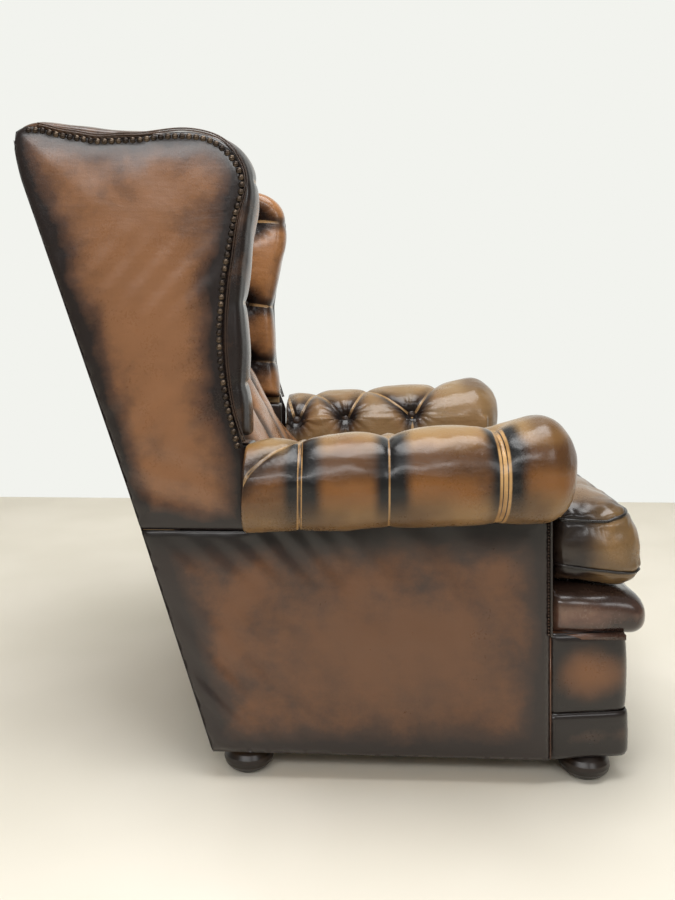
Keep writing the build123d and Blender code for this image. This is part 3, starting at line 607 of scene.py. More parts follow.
def ripple(points, size, seed):
    """A smooth random field, about -1 to 1, from a few waves in fixed random directions."""
    chance = np.random.default_rng(seed)
    total, waves = np.zeros(len(points)), 9
    for _ in range(waves):
        way = chance.normal(size=3)
        way /= np.linalg.norm(way)
        speed = chance.uniform(0.6, 1.5) * 2 * math.pi / size
        total += np.cos(points @ way * speed + chance.uniform(0, 6.3))
    return total / math.sqrt(waves / 2) / 1.6


print("buttoning helpers ready")

# %% [markdown]
# ## Antiqued leather
# The hide was dyed tan, then rubbed with a dark glaze that stays in folds and along seams and wears
# off on the swells. So one number drives the colour: high on the swells, low near a pleat or a rim,
# broken up by blotches and streaks. On a few pieces the rim number also carries painted shade, where
# the piece goes under or behind another part. The grain is a fine cell pattern, with a few creases over it.

# %% The leather finish
def leather(name, dark, brown, amber, lift=0.5, gloss=0.3, pattern=None, creases=0.5, coat=0.5):
    finish = Finish(name)
    swell, rim = finish.stored("swell"), finish.stored("rim")
    blotch = finish.stray(1.3, 6.0, 3.0, rough=0.55, warp=0.6)
    streak = finish.stray(0.7, 3.0, 4.0, rough=0.6, place=finish.scaled(5, 5, 4))
    mottle = finish.stray(0.3, 42.0, 3.0, rough=0.6, place=finish.scaled(1, 1, 1.8))
    speck = finish.stray(0.12, 240.0, rough=0.6)
    # The rim darkens with the glaze, and on a few pieces it carries painted shade.
    amount = (lift + blotch + streak + mottle + speck + (swell - 0.5) * 0.5 - rim * 0.85).clamped()
    dark, brown, amber = tone(*dark), tone(*brown), tone(*amber)
    light = tuple(min(channel * 1.12, 1.0) for channel in amber)
    colour = finish.ramp(amount, [(0.0, dark), (0.36, brown), (0.74, amber), (1.0, light)])
    if pattern:
        colour = pattern(finish, colour)
    ridges = {"Vector": finish.place, "Scale": 11.0, "Detail": 6.0, "Roughness": 0.62}
    ridges.update({"Lacunarity": 2.3, "Offset": 1.0, "Gain": 1.4})
    ridge = finish.node("ShaderNodeTexNoise", {"noise_type": "RIDGED_MULTIFRACTAL"}, ridges)
    crease = ridge.step(0.9, 2.6) * 0.5 + ridge.step(0.4, 1.6) * 0.25
    pulled = finish.noise(4.0, 3.0, 0.55, place=finish.scaled(1.5, 1.5, 8.0), warp=0.2)
    normal = finish.bump(finish.cells(620.0).step(0.0, 0.4), 0.00018, 0.35)
    normal = finish.bump(crease, 0.0012, 0.5 * creases, normal)
    normal = finish.bump(pulled, 0.004, 0.4 * creases, normal)
    rough = gloss + finish.stray(0.2, 16.0, 3.0) + speck + rim * 0.03
    return finish.done(colour, rough, normal, Specular_IOR_Level=0.3, Coat_Weight=coat, Coat_Roughness=0.2)


print("amber on a swell", [round(channel, 3) for channel in tone(130, 90, 60)])

# %% [markdown]
# ## Patterns of the single parts
# Where hands and clothes rub, the dye has its own pattern. Some parts also get painted light and
# shade: a highlight and a floor reflection on the arm roll, shade under the arm and the cushion and
# inside the folds. Each part lays its paints over the common leather, each paint through a mask made
# of the place on the chair and the distance to a pleat.

# %% Arm and fold colours
def roll_colours(finish, colour):
    """The arm's own pattern: tan crest, partly a painted highlight; amber waist; olive underside,
    partly a painted reflection of the floor; dark flanks; raw tan in the pleats.
    """
    x, y, z = finish.axes()
    near, side, broad = finish.stored("pleat"), finish.stored("front_side"), finish.stored("band")
    outer = abs(x).step(352.0, 378.0)
    inner, rear_side = 1.0 - outer, 1.0 - side
    height = (z - 397.0 + y * 0.058) / 140.0 + finish.stray(0.3, 9.0, 3.0)
    olive = finish.mix((88, 66, 40), (140, 110, 70), finish.noise(9.0, 3.0).step(0.3, 0.7))
    waist = height.step(0.4, 0.58) * height.step(0.86, 0.7)
    crest = height.step(0.66, 0.9) * (finish.noise(12.0).step(0.25, 0.6) * 0.6 + 0.3)
    nose = y.step(-265.0, -300.0) * height.step(0.66, 0.92)
    ragged = near + finish.stray(12.0, 14.0)
    flank = ragged.step(38.0, 17.0) * side + ragged.step(28.0, 10.0) * rear_side
    reach = height.step(-0.05, 0.3) * height.step(1.1, 0.85)
    fresh = finish.mix((146, 108, 62), (196, 156, 104), finish.noise(30.0).step(0.3, 0.7))
    crack = abs(near - broad * 0.45).step(1.1, 0.3) * side + near.step(1.0, 0.3) * rear_side * 0.6
    return finish.layered(
        colour,
        # Olive underside, partly a painted reflection of the pale floor.
        (olive, height.step(0.38, 0.1) * 0.85),
        ((40, 28, 21), waist * (0.1 + outer * 0.5)),
        # Tan crest, partly a painted highlight from the lamp overhead.
        ((156, 123, 74), crest),
        # Painted highlight on the swells of the arm's inner side.
        ((150, 128, 92), inner * finish.stored("swell").step(0.45, 1.0) * 0.55),
        # Painted shade on the nose's crest, so that it catches less light.
        ((88, 62, 38), nose * 0.8),
        ((9, 9, 11), flank * (reach * 0.84 + 0.16) * outer),
        (fresh, (near / broad).step(1.2, 0.9) * outer),
        ((34, 24, 19), crack * outer * finish.noise(7.0, 1.0).step(0.25, 0.45)),
    )


def fold_colours(finish, colour, raw=0.9):
    """Dark dye beside the folds between buttons, raw tan on their brinks and painted shade, a black line,
    inside.
    """
    near = finish.stored("fold")
    brink = near.step(3.8, 2.4) * finish.noise(7.0, 1.0).step(0.34, 0.5)
    dyed = (near + finish.stray(14.0, 16.0)).step(26.0, 7.0)
    # The last paint is painted shade: a black line down the inside of each fold.
    folds = ((24, 20, 20), dyed * 0.7), ((184, 148, 102), brink * raw), ((26, 20, 18), near.step(1.2, 0.4))
    return finish.layered(colour, *folds)


def inside_colours(finish, colour):
    """Raw brinks on the inside only; on the wing's border the pleat keeps its dye and its line of painted
    shade.
    """
    x = finish.axes()[0]
    return fold_colours(finish, colour, raw=abs(x).step(312.0, 300.0) * 0.8)


def arm_colours(finish, colour):
    return roll_colours(finish, fold_colours(finish, colour))


print("arm and fold patterns ready")


# %% Block, skirt, lip and cushion colours
def block_colours(finish, colour):
    """A worn amber patch in the middle of the block's cheek."""
    x, y, z = finish.axes()
    away = (((y + 388.0) / 40.0) ** 2.0 + ((z - 165.0) / 30.0) ** 2.0) ** 0.5
    patch = (away + finish.stray(1.1, 14.0, 3.0)).step(1.7, 0.0)
    return finish.mix(colour, (128, 82, 44), patch * abs(x).step(300.0, 308.0) * 0.7)


def skirt_colours(finish, colour):
    """The skirt gets painted shade, nearly black, under the arm's roll, and a warm brown low in its middle.
    """
    x, y, z = finish.axes()
    outside, drift = abs(x).step(300.0, 320.0), finish.stray(1.2, 7.0, 3.0)
    away = (((y + 90.0) / 200.0) ** 2.0 + ((z - 175.0) / 110.0) ** 2.0) ** 0.5 + drift
    warm = ((104, 70, 45), away.step(1.1, 0.2) * outside * 0.6)
    # Painted shade: a nearly black band just under the overhanging arm roll.
    black = ((15, 13, 13), (z + drift * 30.0).step(318.0, 372.0) * outside * 0.8)
    return finish.layered(colour, warm, black)


def lip_colours(finish, colour):
    """Painted shade darkens the lip's top, under the cushion."""
    z = finish.axes()[2]
    return finish.mix(colour, (30, 21, 19), z.step(250.0, 276.0) * 0.85)


def cushion_colours(finish, colour):
    """The cushion's sides get painted light, olive and amber, at the front,
    and painted shade, nearly black, under the arm.
    """
    x, y, z = finish.axes()
    front, cheek = (y + finish.stray(40.0, 10.0, 3.0)).step(-372.0, -425.0), abs(x).step(285.0, 312.0)
    # Painted light: a lit olive and amber tone on the front of the ears' sides.
    lit = finish.mix((112, 88, 56), (152, 117, 72), finish.noise(12.0, 3.0).step(0.35, 0.65))
    # Painted shade: nearly black on the ears' sides under the arm.
    black = ((26, 20, 19), (1.0 - front) * cheek * z.step(424.0, 405.0) * 0.85)
    return finish.layered(colour, (lit, front * cheek * 0.75), black)


print("patterns of the lower parts ready")

# %% [markdown]
# ## The chair's leathers
# Dark, brown and amber give each hide its range. Lift says how worn it is, gloss how rough, creases
# how slack and coat how much polish it has.

# %% Table of leathers
glaze_and_shade = (28, 20, 19)
plain_hide = ((38, 29, 27), (62, 43, 34), (104, 68, 42))
leathers = {
    "panel": (glaze_and_shade, (80, 55, 41), (130, 90, 60), {"lift": 0.6, "creases": 0.6}),
    "skirt": (*plain_hide, {"lift": 0.48, "gloss": 0.33, "pattern": skirt_colours}),
    "back": (*plain_hide, {"lift": 0.48, "gloss": 0.33}),
    "lip": ((40, 26, 22), (98, 70, 58), (144, 112, 92),
            {"lift": 0.72, "gloss": 0.24, "pattern": lip_colours, "creases": 0.7, "coat": 0.7}),
    "roll": (glaze_and_shade, (76, 49, 29), (122, 79, 38),
             {"lift": 0.6, "pattern": arm_colours, "creases": 1.7, "coat": 0.36}),
    "inside": (glaze_and_shade, (92, 64, 44), (158, 110, 68),
               {"pattern": inside_colours, "gloss": 0.28, "creases": 0.8}),
    "cushion": (glaze_and_shade, (72, 55, 42), (118, 92, 64),
                {"lift": 0.6, "pattern": cushion_colours, "creases": 1.3, "coat": 0.45}),
    "dark": ((36, 23, 19), (70, 46, 36), (108, 74, 54), {"lift": 0.55, "gloss": 0.26, "creases": 0.6}),
    "block": ((26, 19, 18), (64, 46, 37), (98, 68, 48),
              {"lift": 0.46, "pattern": block_colours, "creases": 0.4}),
    "button": ((26, 21, 19), (54, 40, 31), (92, 66, 45), {"lift": 0.3, "gloss": 0.36, "coat": 0.15}),
    "piping": ((20, 17, 17), (34, 28, 26), (70, 54, 42), {"lift": 0.3}),
    "welt": ((28, 22, 20), (52, 38, 30), (86, 61, 43), {"lift": 0.45}),
}
finishes = {key: leather(f"leather_{key}", *tones, **choices) for key, (*tones, choices) in leathers.items()}
print("leathers", sorted(finishes))

# %% [markdown]
# ## Dressing a piece
# Every piece gets its finish, the body that it rides on and its material slot, and the CAD nodes
# that it stands for are hidden. The arms, wings and panels come in pairs, so the left one is made and
# mirrored.

# %% Finish, body and replaced nodes
def dress(piece, finish, body="chair", replaced=()):
    """Finishes a piece; numbers that its finish reads and it does not carry get plain values."""
    for name, number in (("swell", 0.5), ("rim", 0.0), ("fold", 90.0)):
        if name not in piece.data.attributes:
            keep(piece, name, np.full(len(piece.data.vertices), number))
    piece.data.materials.clear()
    piece.data.materials.append(finishes[finish])
    piece.data.polygons.foreach_set("material_index", np.zeros(len(piece.data.polygons), int))
    piece.data.shade_smooth()
    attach(piece, body)
    if replaced:
        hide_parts(*replaced)
    print(piece.name, len(piece.data.vertices), "points, at", round(time.time() - started, 1), "s")
    return piece


def dressed_pair(left, finish, node):
    """Dresses a left piece and its right twin, in place of the CAD node of each side."""
    right = mirrored_piece(left)
    for piece, (side, _) in zip((left, right), sides):
        dress(piece, finish, replaced=[f"{node}_{side}"])


print(len(finishes), "leathers to choose from")

# %% [markdown]
# ## Outside panels
# The outside of an arm or wing is one hide panel over a thin wadding, nailed or sewn along its rim.
# It is tightest at the rim and stands a little proud in the middle. A flat board would catch the
# light all at once, so each panel is triangulated inside its outline and raised by the distance from
# the rim, closed behind by the same outline.

# %% A puffed panel
def panel_piece(name, outline, place, seed, thick=3.0, rise=5.0, soft=45.0, step=7.0, wrinkle=0.5,
                folds=None):
    """A closed puffed panel. place(u, v, w) gives the point that is w out from the panel's back."""
    rim = even_line(closed(outline), step, loop=True)
    rim_line = level(closed(rim))
    low, high = rim.min(axis=0), rim.max(axis=0)
    across, up = np.arange(low[0], high[0], step), np.arange(low[1], high[1], step * 0.87)
    grid = np.array([(u + (row % 2) * step / 2, v) for row, v in enumerate(up) for u in across])
    grid = grid[inside_of(rim, grid) & (distance_to_line(level(grid), rim_line) > step * 0.55)]
    edges = [(i, (i + 1) % len(rim)) for i in range(len(rim))]
    made = delaunay_2d_cdt([Vector(p) for p in np.vstack([rim, grid])], edges, [], 1, 1e-4, True)
    spots = np.array([tuple(v) for v in made[0]])
    triangles = np.array([tuple(face) for face in made[2]])
    triangles = triangles[inside_of(rim, spots[triangles].mean(axis=1))].tolist()
    depth = distance_to_line(level(spots), rim_line)
    depth[: len(rim)] = 0.0
    out = thick * (0.25 + 0.75 * pillow(depth / 5.0)) + rise * (1 - np.exp(-depth / soft))
    out += wrinkle * ripple(level(spots), 90.0, seed) * (1 - np.exp(-depth / 20.0))
    if folds:
        out += folds(spots, depth)
    front = [place(u, v, w) for (u, v), w in zip(spots, out)]
    back = [place(u, v, 0.0) for u, v in spots]
    count = len(spots)
    faces = triangles + [(c + count, b + count, a + count) for a, b, c in triangles]
    runs = dict.fromkeys(run for a, b, c in triangles for run in ((a, b), (b, c), (c, a)))
    faces += [(b, a, a + count, b + count) for a, b in runs if (b, a) not in runs]
    piece = form_piece(name, [(np.vstack([front, back]), faces)])
    keep(piece, "rim", np.concatenate([bell(depth, 26.0, 1.2), np.ones(count)]))
    keep(piece, "swell", np.concatenate([1 - np.exp(-depth / 60.0), np.zeros(count)]))
    return piece


print("panels stand on the boards, at", panel_back, "mm from the middle")


# %% The chair's outside panels
def side_place(u, v, w):
    return panel_back + w, u, v


def side_folds(spots, depth):
    """Shallow level wrinkles across the wing panel and slanting ones at its foot."""
    y, z = spots.T
    across = 1.1 * np.sin(z / 9.0 + 0.12 * y + 0.9 * np.sin(y / 45.0)) * bell(z - 690, 150)
    across *= 0.5 + 0.5 * np.sin(z / 37.0)
    slant = 1.3 * np.sin((z - 0.5 * y) / 8.5 + np.sin(y / 37.0)) * bell(z - 425, 55) * unit((y - 130) / 90)
    return (across + slant) * unit(depth / 30)


def skirt_folds(spots, depth):
    """Slack folds that run down and forwards from the rear edge."""
    y, z = spots.T
    wave = np.sin((1.1 * y - z) / 8.4 + 0.9 * np.sin(y / 50.0) + 0.4 * np.sin(z / 31.0))
    low = 2.6 * wave * bell(raked_y(z) - y, 130) * unit((290 - z) / 120)
    high = 1.5 * wave * bell(z - 350, 45) * bell(y - 90, 110)
    return (low + high) * unit(depth / 16)


wing_foot = 373.6
rear_run = [(rear_y(z, 1.4), z) for z in (945, 925, 900, 870, 840, 760, 680, 600, 520, 440, wing_foot)]
wing_outline = np.vstack([smooth_line(panel_edge, 6.0), rear_run, [(118.5, wing_foot), (118.5, 480)]])
outside_wing = panel_piece("outside_wing_cover_left", wing_outline, side_place, 11, rise=6.0,
                           folds=side_folds)
dressed_pair(outside_wing, "panel", "outside_wing")

skirt_front, skirt_top = -326.7, 372.8
arm_outline = [(y, under_z(y) - 2.0) for y in (skirt_front, -200, -80, 40, 117.9)] + [(118.2, skirt_top)]
arm_outline += [(rear_y(z, 1.4), z) for z in (skirt_top, 250, 130, 43.5)] + [(skirt_front, 40)]
outside_arm = panel_piece("outside_arm_cover_left", np.array(arm_outline), side_place, 23, soft=60.0,
                          wrinkle=1.0, folds=skirt_folds)
dressed_pair(outside_arm, "skirt", "outside_arm")

back_outline = np.array([(-333, 46), (333, 46), (333, 700), (331, 958), (-331, 958), (-333, 700)], float)
outside_back = panel_piece("outside_back_cover", back_outline, lambda u, v, w: (u, rear_y(v) - 3.0 + w, v),
                           31, rise=6.0, step=11.0, soft=70.0)
dress(outside_back, "back", replaced=["outside_back"])

facing_outline = np.array([(256.0, 221), (333.0, 221), (333.0, 403), (256.0, 403)])
facing = panel_piece("arm_facing_cover_left", facing_outline, lambda u, v, w: (u, -327.0 - w, v),
                     41, rise=3.0, soft=25.0)
dressed_pair(facing, "dark", "arm_facing")

# A strip of leather covers the edge of each arm stump, between the outside panel and the block.
for side, sign in sides:
    x0, x1 = sorted((320.0 * sign, 332.4 * sign))
    strip = form_piece(f"stump_cover_{side}", [box_form((x0, -328.6, 42.0), (x1, -326.72, 224.0))])
    dress(strip, "dark")

# %% [markdown]
# ## Wing padding
# The wing's inside face and its front border are one padded cover, rounded towards the sitter and
# pulled in by three buttons. A rounded prism gives the form; a voxel remesh turns it into one even
# skin; then the buttons, pleats and gathers press into it. Where the outside panel lies over it, the
# skin drops back under the panel.

# %% The wing's form and buttons
edge_curve = smooth_line(wing_edge[:7], 4.0)


def edge_y(z):
    return np.interp(z, edge_curve[:, 1], edge_curve[:, 0])


wing_buttons = [(inside_face, edge_y(z) + 76.0, z) for z in (906.0, 720.0, 595.0)]
pleat_ends = (899.0, 713.0, 590.0)


def wing_form():
    edge = smooth_line(wing_edge, 8.0)
    rear = even_line([(rear_y(z, 0.5), z) for z in (960, 930, 890, 840, 760, 680, 600, 510)], 14.0)[1:]
    foot = even_line([rear[-1], wing_edge[0]], 14.0)[1:-1]
    outline = np.vstack([edge, rear, foot])
    stack = rounding(inside_face, 24, 24, (0, 20, 42, 66, 90))
    turns = np.radians((0, 16, 32, 48, 64, 78, 90))
    stack += [(294 + 40 * math.sin(t), 15 * (1 - math.cos(t))) for t in turns]
    return tube_form([at_x(x, shrunk(outline, inset)) for x, inset in stack])


def wing_foot_form():
    """The lower end, a block whose rear leans with the outside back."""
    x0, x1, y0 = inside_face, 302.0, 120.0
    rings = [(z, raked_y(z, 46.0)) for z in (222.0, 498.0)]
    return tube_form([[(x0, y0, z), (x1, y0, z), (x1, y1, z), (x0, y1, z)] for z, y1 in rings])


print("wing buttons at", [tuple(round(float(v), 1) for v in place) for place in wing_buttons])


# %% Press the wing and set the two sides apart
def press_wing(piece):
    relax(piece, 4)
    points, normals = points_of(piece), normals_of(piece)
    pleats = []
    for (x, y, z), end in zip(wing_buttons, pleat_ends):
        y1 = edge_y(end)
        round_front = [(x + 2, y1 + 16, end + 1), (x + 20, y1, end), (outside_face - 8, y1 + 1, end)]
        pleats.append([(x, y, z), *round_front, (outside_face, y1 + 12, end)])
        pleats.append([(x, y, z), (x, y + 60, z + 14), (x, y + 120, z + 10)])
    fold, button = nearest_line(points, pleats), nearest_place(points, wing_buttons)
    swell = pillow(fold / 62.0)
    press = 8.0 * (1 - swell) * (1 - 0.7 * unit((points[:, 0] - 300) / 30))
    press += 15.0 * bell(button, 17.0) + 6.0 * bell(button, 42.0)
    for number, place in enumerate(wing_buttons):
        press += gathers(points, place, (-1, 0, 0), 15, 36.0, 5.0, number + 1.3)
    press += 0.5 * ripple(points, 60.0, 51)
    outside = points[:, 0] > 322
    hidden = inside_of(wing_outline, points[:, 1:]) & outside
    rim_depth = distance_to_line(level(points[:, 1:]), level(closed(wing_outline)))
    points = points - normals * press[:, None]
    x = points[:, 0]
    x = np.where(hidden, np.minimum(x, outside_face - np.clip(rim_depth, 0, 5)), x)
    points[:, 0] = x + np.where(outside & ~hidden, 2.5 * unit(rim_depth / 8), 0)
    set_points(piece, points)
    relax(piece, 1, 0.4)
    keep(piece, "fold", fold)
    keep(piece, "swell", swell * (1 - 0.6 * np.exp(-button / 22.0)))
    # Darker round the buttons and towards the border; below z 530, where the wing's foot goes down behind the
    # arm roll, the darkening is painted shade.
    dark = bell(button, 36.0) * 1.25 + 0.75 * unit((points[:, 0] - 290) / 25)
    keep(piece, "rim", np.clip(dark + unit((530 - points[:, 2]) / 25), 0, 1.5))


def lean_front(piece, heights, shifts):
    """Moves a wing's front roll forwards or back by its height; years of use set the two wings apart."""
    points = points_of(piece)
    reach = np.where(np.abs(points[:, 0]) > 318, 22.0, 70.0)
    share = unit(1 - (points[:, 1] - edge_y(points[:, 2])) / reach)
    points[:, 1] += np.interp(points[:, 2], heights, shifts) * share
    set_points(piece, points)


wing = even_skin("inside_wing_cover_left", [wing_form(), wing_foot_form()], 4.0)
press_wing(wing)
wing_right = mirrored_piece(wing)
lean_front(wing, (500, 560, 620, 720, 840), (4, 6, 11, 12, 0))
lean_front(wing_right, (500, 560, 900, 950), (-5, -8, -6, 0))
for piece, (side, _) in zip((wing, wing_right), sides):
    dress(piece, "inside", replaced=[f"inside_wing_{side}"])

# %% [markdown]
# ## Arm rolls
# A rolled arm is a fat sausage of stuffing over the arm board, with the inside arm running down from
# it to the seat. Its leather is pleated from the underside over the crest and in a fan to the buttons
# on the inner shoulder. The sausage and the inside arm are modelled apart, as closed forms that
# overlap, and the remesh makes one skin of them. The two arms are pressed apart from each other,
# because no upholsterer sets two arms of pleats at quite the same places.

# %% The arm's section and pleat lines
roll_x, nose_length = 360, 52.0
shoulder_across, shoulder_down = 105, 78


def outer_round(y, turn):
    """X and Z round the outside of the roll: 0 on the crest, pi on the underside, which is flatter."""
    middle = (crest_z(y) + under_z(y)) / 2
    across, up = math.sin(turn), math.cos(turn)
    if up < 0:
        drop = (middle - under_z(y) + 6.0) * (-up) ** 0.75
        return roll_x + (outer_x(y) - roll_x) * across**0.75, middle - drop
    return roll_x + (outer_x(y) - roll_x) * across, middle + (crest_z(y) - middle) * up


def roll_size(y):
    """Full but for the nose, which rounds off."""
    near = unit((nose_y + nose_length - y) / nose_length)
    return max(math.sqrt(1 - near**2), 0.12)


def roll_ring(y):
    """Closed section of the sausage: inner shoulder, crest, outer round, underside."""
    crest, under = crest_z(y), under_z(y)
    foot, ring = crest - shoulder_down, []
    for t in np.linspace(0, math.pi / 2, 22, endpoint=False):
        ring.append((roll_x - shoulder_across * math.cos(t), foot + shoulder_down * math.sin(t)))
    ring += [outer_round(y, t) for t in np.linspace(0, math.pi, 36)]
    ring += [(330, under - 5), (300, under - 2), (272, under + 10), (258, under + 30)]
    centre = np.array([345.0, (crest + under) / 2])
    ring = centre + (np.array(ring) - centre) * roll_size(y)
    return np.column_stack([ring[:, 0], np.full(len(ring), y), ring[:, 1]])


def shoulder_point(y, share=0.0):
    """A place on the inner shoulder, from a share of 0 at the buttons to 1 near the crest."""
    turn = math.radians(22 + 66 * share)
    return roll_x - shoulder_across * math.cos(turn), y, crest_z(y) - shoulder_down * (1 - math.sin(turn))


def shoulder_line(start, end):
    """A pleat from a button, round the inner shoulder, to the crest."""
    return [shoulder_point(start + (end - start) * share**0.8, share) for share in np.linspace(0, 1, 8)]


def outer_line(y, bow):
    """A pleat from the crest, round the outside, to the underside, bowed forwards at mid-height."""
    rounds = [(outer_round(y, t), t) for t in np.linspace(0, math.pi, 20)]
    return [(x, y - bow * math.sin(t) + bow * 0.3 * math.sin(t / 2) ** 4, z) for (x, z), t in rounds]


def tail_line(rear):
    """The rear pleat's end, which slants down the outside behind it."""
    line = []
    for turn, run in ((0.0, 0), (0.35, 22), (0.75, 46), (1.15, 68), (1.45, 80)):
        x, z = outer_round(rear + run, turn)
        line.append((x, rear + run, z))
    return line


print("the roll's section has", len(roll_ring(0.0)), "points")


# %% Press the two arms
def press_arm(piece, pleats, bands, buttons, longer=0.0):
    """Presses an arm's pleats, given by their depth along the arm, and its buttons into its skin."""
    points, normals = points_of(piece), normals_of(piece)
    buttons = [shoulder_point(y) for y in buttons]
    outer, inner = [outer_line(y, bow) for y, bow in zip(pleats, (7.0, 0.0, 3.0))], []
    ends = (*pleats, arm_rear)
    for (x, y, z), pair in zip(buttons, zip(ends, ends[1:])):
        inner += [shoulder_line(y, end) for end in pair]
        inner.append([(x, y, z), (256, y, z - 40), (255, y, z - 75)])
    tail = tail_line(pleats[2])
    inner.append(tail)
    each = np.array([distance_to_line(points, line) for line in outer])
    nearest, out, into = each.argmin(axis=0), each.min(axis=0), nearest_line(points, inner)
    button = nearest_place(points, buttons)
    swell = pillow(np.minimum(out, into) / 58.0)
    top = unit((points[:, 2] - 470) / 60)
    press = (5.0 + 9.0 * top) * (1 - swell)
    press += 4.0 * top * (1 - pillow(each[0] / 34.0))
    press += 20.0 * bell(button, 16.0) + 9.0 * bell(button, 40.0)
    for number, place in enumerate(buttons):
        press += gathers(points, place, arm_way, 15, 38.0, 6.0, number + 0.4)
    press += 0.8 * ripple(points, 85.0, 61) + 0.35 * ripple(points, 34.0, 62)
    press *= unit((points[:, 2] - 300) / 60)
    moved = points - normals * press[:, None]
    moved[:, 1] -= longer * unit((-270 - points[:, 1]) / 80) ** 2
    moved[:, 2] += 6.5 * bell(points[:, 1] + 310, 38.0) * unit((points[:, 2] - 440) / 80)
    set_points(piece, moved)
    relax(piece, 1, 0.3)
    keep(piece, "fold", np.where(points[:, 0] < 362, into, distance_to_line(points, tail)))
    keep(piece, "pleat", out)
    keep(piece, "band", np.array(bands)[nearest])
    keep(piece, "front_side", points[:, 1] < np.array(pleats)[nearest])
    keep(piece, "swell", swell * (1 - 0.6 * np.exp(-button / 26.0)))
    dark = np.exp(-button / 19.0) * 1.9 + np.exp((nose_y - points[:, 1]) / 16.0) * 0.3
    keep(piece, "rim", np.clip(dark, 0, 1.6))
    return buttons


arm_way = (-0.93, 0, 0.37)
nose_rings = nose_y + nose_length * (1 - np.cos(np.linspace(0, math.pi / 2, 12)))
rings = [roll_ring(y) for y in (*nose_rings, *np.arange(-296, arm_rear, 12), arm_rear)]
inside_arm = box_form((inside_face, -326.5, 221), (302, arm_rear, 470))
arm = even_skin("arm_roll_cover_left", [tube_form(rings), inside_arm], 3.2)
relax(arm, 3)
# The curves are those of the left side, so both arms are pressed there and the right one is then mirrored.
arm_right = mirrored_piece(arm)
set_points(arm_right, points_of(arm))
far_buttons = press_arm(arm, (-226.0, -67.0, 51.4), (6.0, 1.6, 3.0), (-168.0, -20.0, 90.0), longer=9.0)
arm_right.data.flip_normals()
near_buttons = press_arm(arm_right, (-240.0, -88.5, 38.5), (7.5, 1.4, 3.2), (-163.0, -24.0, 78.0))
set_points(arm_right, points_of(arm_right) * (-1, 1, 1))
arm_right.data.flip_normals()
for piece, (side, _) in zip((arm, arm_right), sides):
    dress(piece, "roll", replaced=[f"arm_roll_{side}"])

# %% [markdown]
# ## Inside back
# The back is deep-buttoned from arm to arm: rows of buttons in a diamond net, upright channels where
# the net ends, and a roll of stuffing over the top rail. The face leans and bulges towards the
# sitter's waist, so the profile is a closed curve drawn from the side and swept across, and the net
# is pressed into it.

# %% The back's face and its net of buttons
def circle_through(a, b, c):
    """Centre and radius of the circle through three points of a plane."""
    a, b, c = (np.array(point, float) for point in (a, b, c))
    centre = np.linalg.solve(2 * np.array([b - a, c - a]), [b @ b - a @ a, c @ c - a @ a])
    return centre, math.dist(centre, a)


(face_y, face_z), face_radius = circle_through((30, 330), (149, 558), (300, 900))
button_gap = 127.5


def side_fall(x, z):
    """The stuffing is fullest in the middle and falls away to the wings above the arms."""
    return 40.0 * unit(np.abs(x) / inside_face) ** 2.5 * unit((z - 400.0) / 95.0)


def face_depth(z):
    return face_y + math.sqrt(face_radius**2 - (z - face_z) ** 2)


def face_point(x, z):
    return np.array([x, face_depth(z) + side_fall(x, z), z])


def face_way(z):
    """The way that the back's face looks at a height."""
    return -np.array([0.0, face_depth(z) - face_y, z - face_z]) / face_radius


def button_row(row):
    """Four buttons in the even rows, three between them in the odd ones."""
    count = 4 - row % 2
    return [(i - (count - 1) / 2) * button_gap for i in range(count)]


back_rows = [(z, button_row(row)) for row, z in enumerate((545, 630, 715, 800, 885))]
back_buttons = [(face_point(x, z), face_way(z)) for z, places in back_rows for x in places]


def back_pleats():
    lines = []
    for (z0, low), (z1, high) in zip(back_rows, back_rows[1:]):
        for x0 in low:
            ends = [x1 for x1 in high if abs(abs(x1 - x0) - button_gap / 2) < 1]
            lines += [[face_point(x0, z0), face_point(x1, z1)] for x1 in ends]
        for x, from_z in [(low[0], z0), (low[-1], z0), (high[0], z1), (high[-1], z1)]:
            if abs(x) > 180:
                lines.append([face_point(x, from_z), face_point(math.copysign(258, x), (z0 + z1) / 2)])
    for x in back_rows[0][1]:
        lines.append([face_point(x, z) for z in (545, 480, 400)])
        lines.append([face_point(x, 885), face_point(x, 905), (x, 318, 950), (x, 352, 982), (x, 386, 992)])
    return lines


print(len(back_buttons), "buttons and", len(back_pleats()), "pleats in the back")


# %% Sweep the back's profile and press the net into it
def press_back(piece):
    points, normals = points_of(piece), normals_of(piece)
    front = unit(-normals[:, 1] * 2 + 0.6 + 0.5 * normals[:, 2]) * unit((points[:, 2] - 335) / 50)
    fold = nearest_line(points, back_pleats())
    button = nearest_place(points, [place for place, _ in back_buttons])
    swell = pillow(fold / 50.0)
    press = 15.0 * (1 - swell) + 14.0 * bell(button, 17.0) + 5.0 * bell(button, 40.0)
    for number, (place, way) in enumerate(back_buttons):
        press += gathers(points, place, way, 13, 30.0, 3.0, number * 1.7)
    press += 0.6 * ripple(points, 60.0, 71)
    set_points(piece, points - normals * (press * front)[:, None])
    relax(piece, 1, 0.3)
    keep(piece, "fold", fold + 40 * (front < 0.3))
    keep(piece, "swell", swell * (1 - 0.6 * np.exp(-button / 24.0)))
    dark = np.exp(-button / 15.0) * 1.3 + 0.7 * unit((points[:, 1] - 415) / 30)
    keep(piece, "rim", np.clip(dark, 0, 1.3))


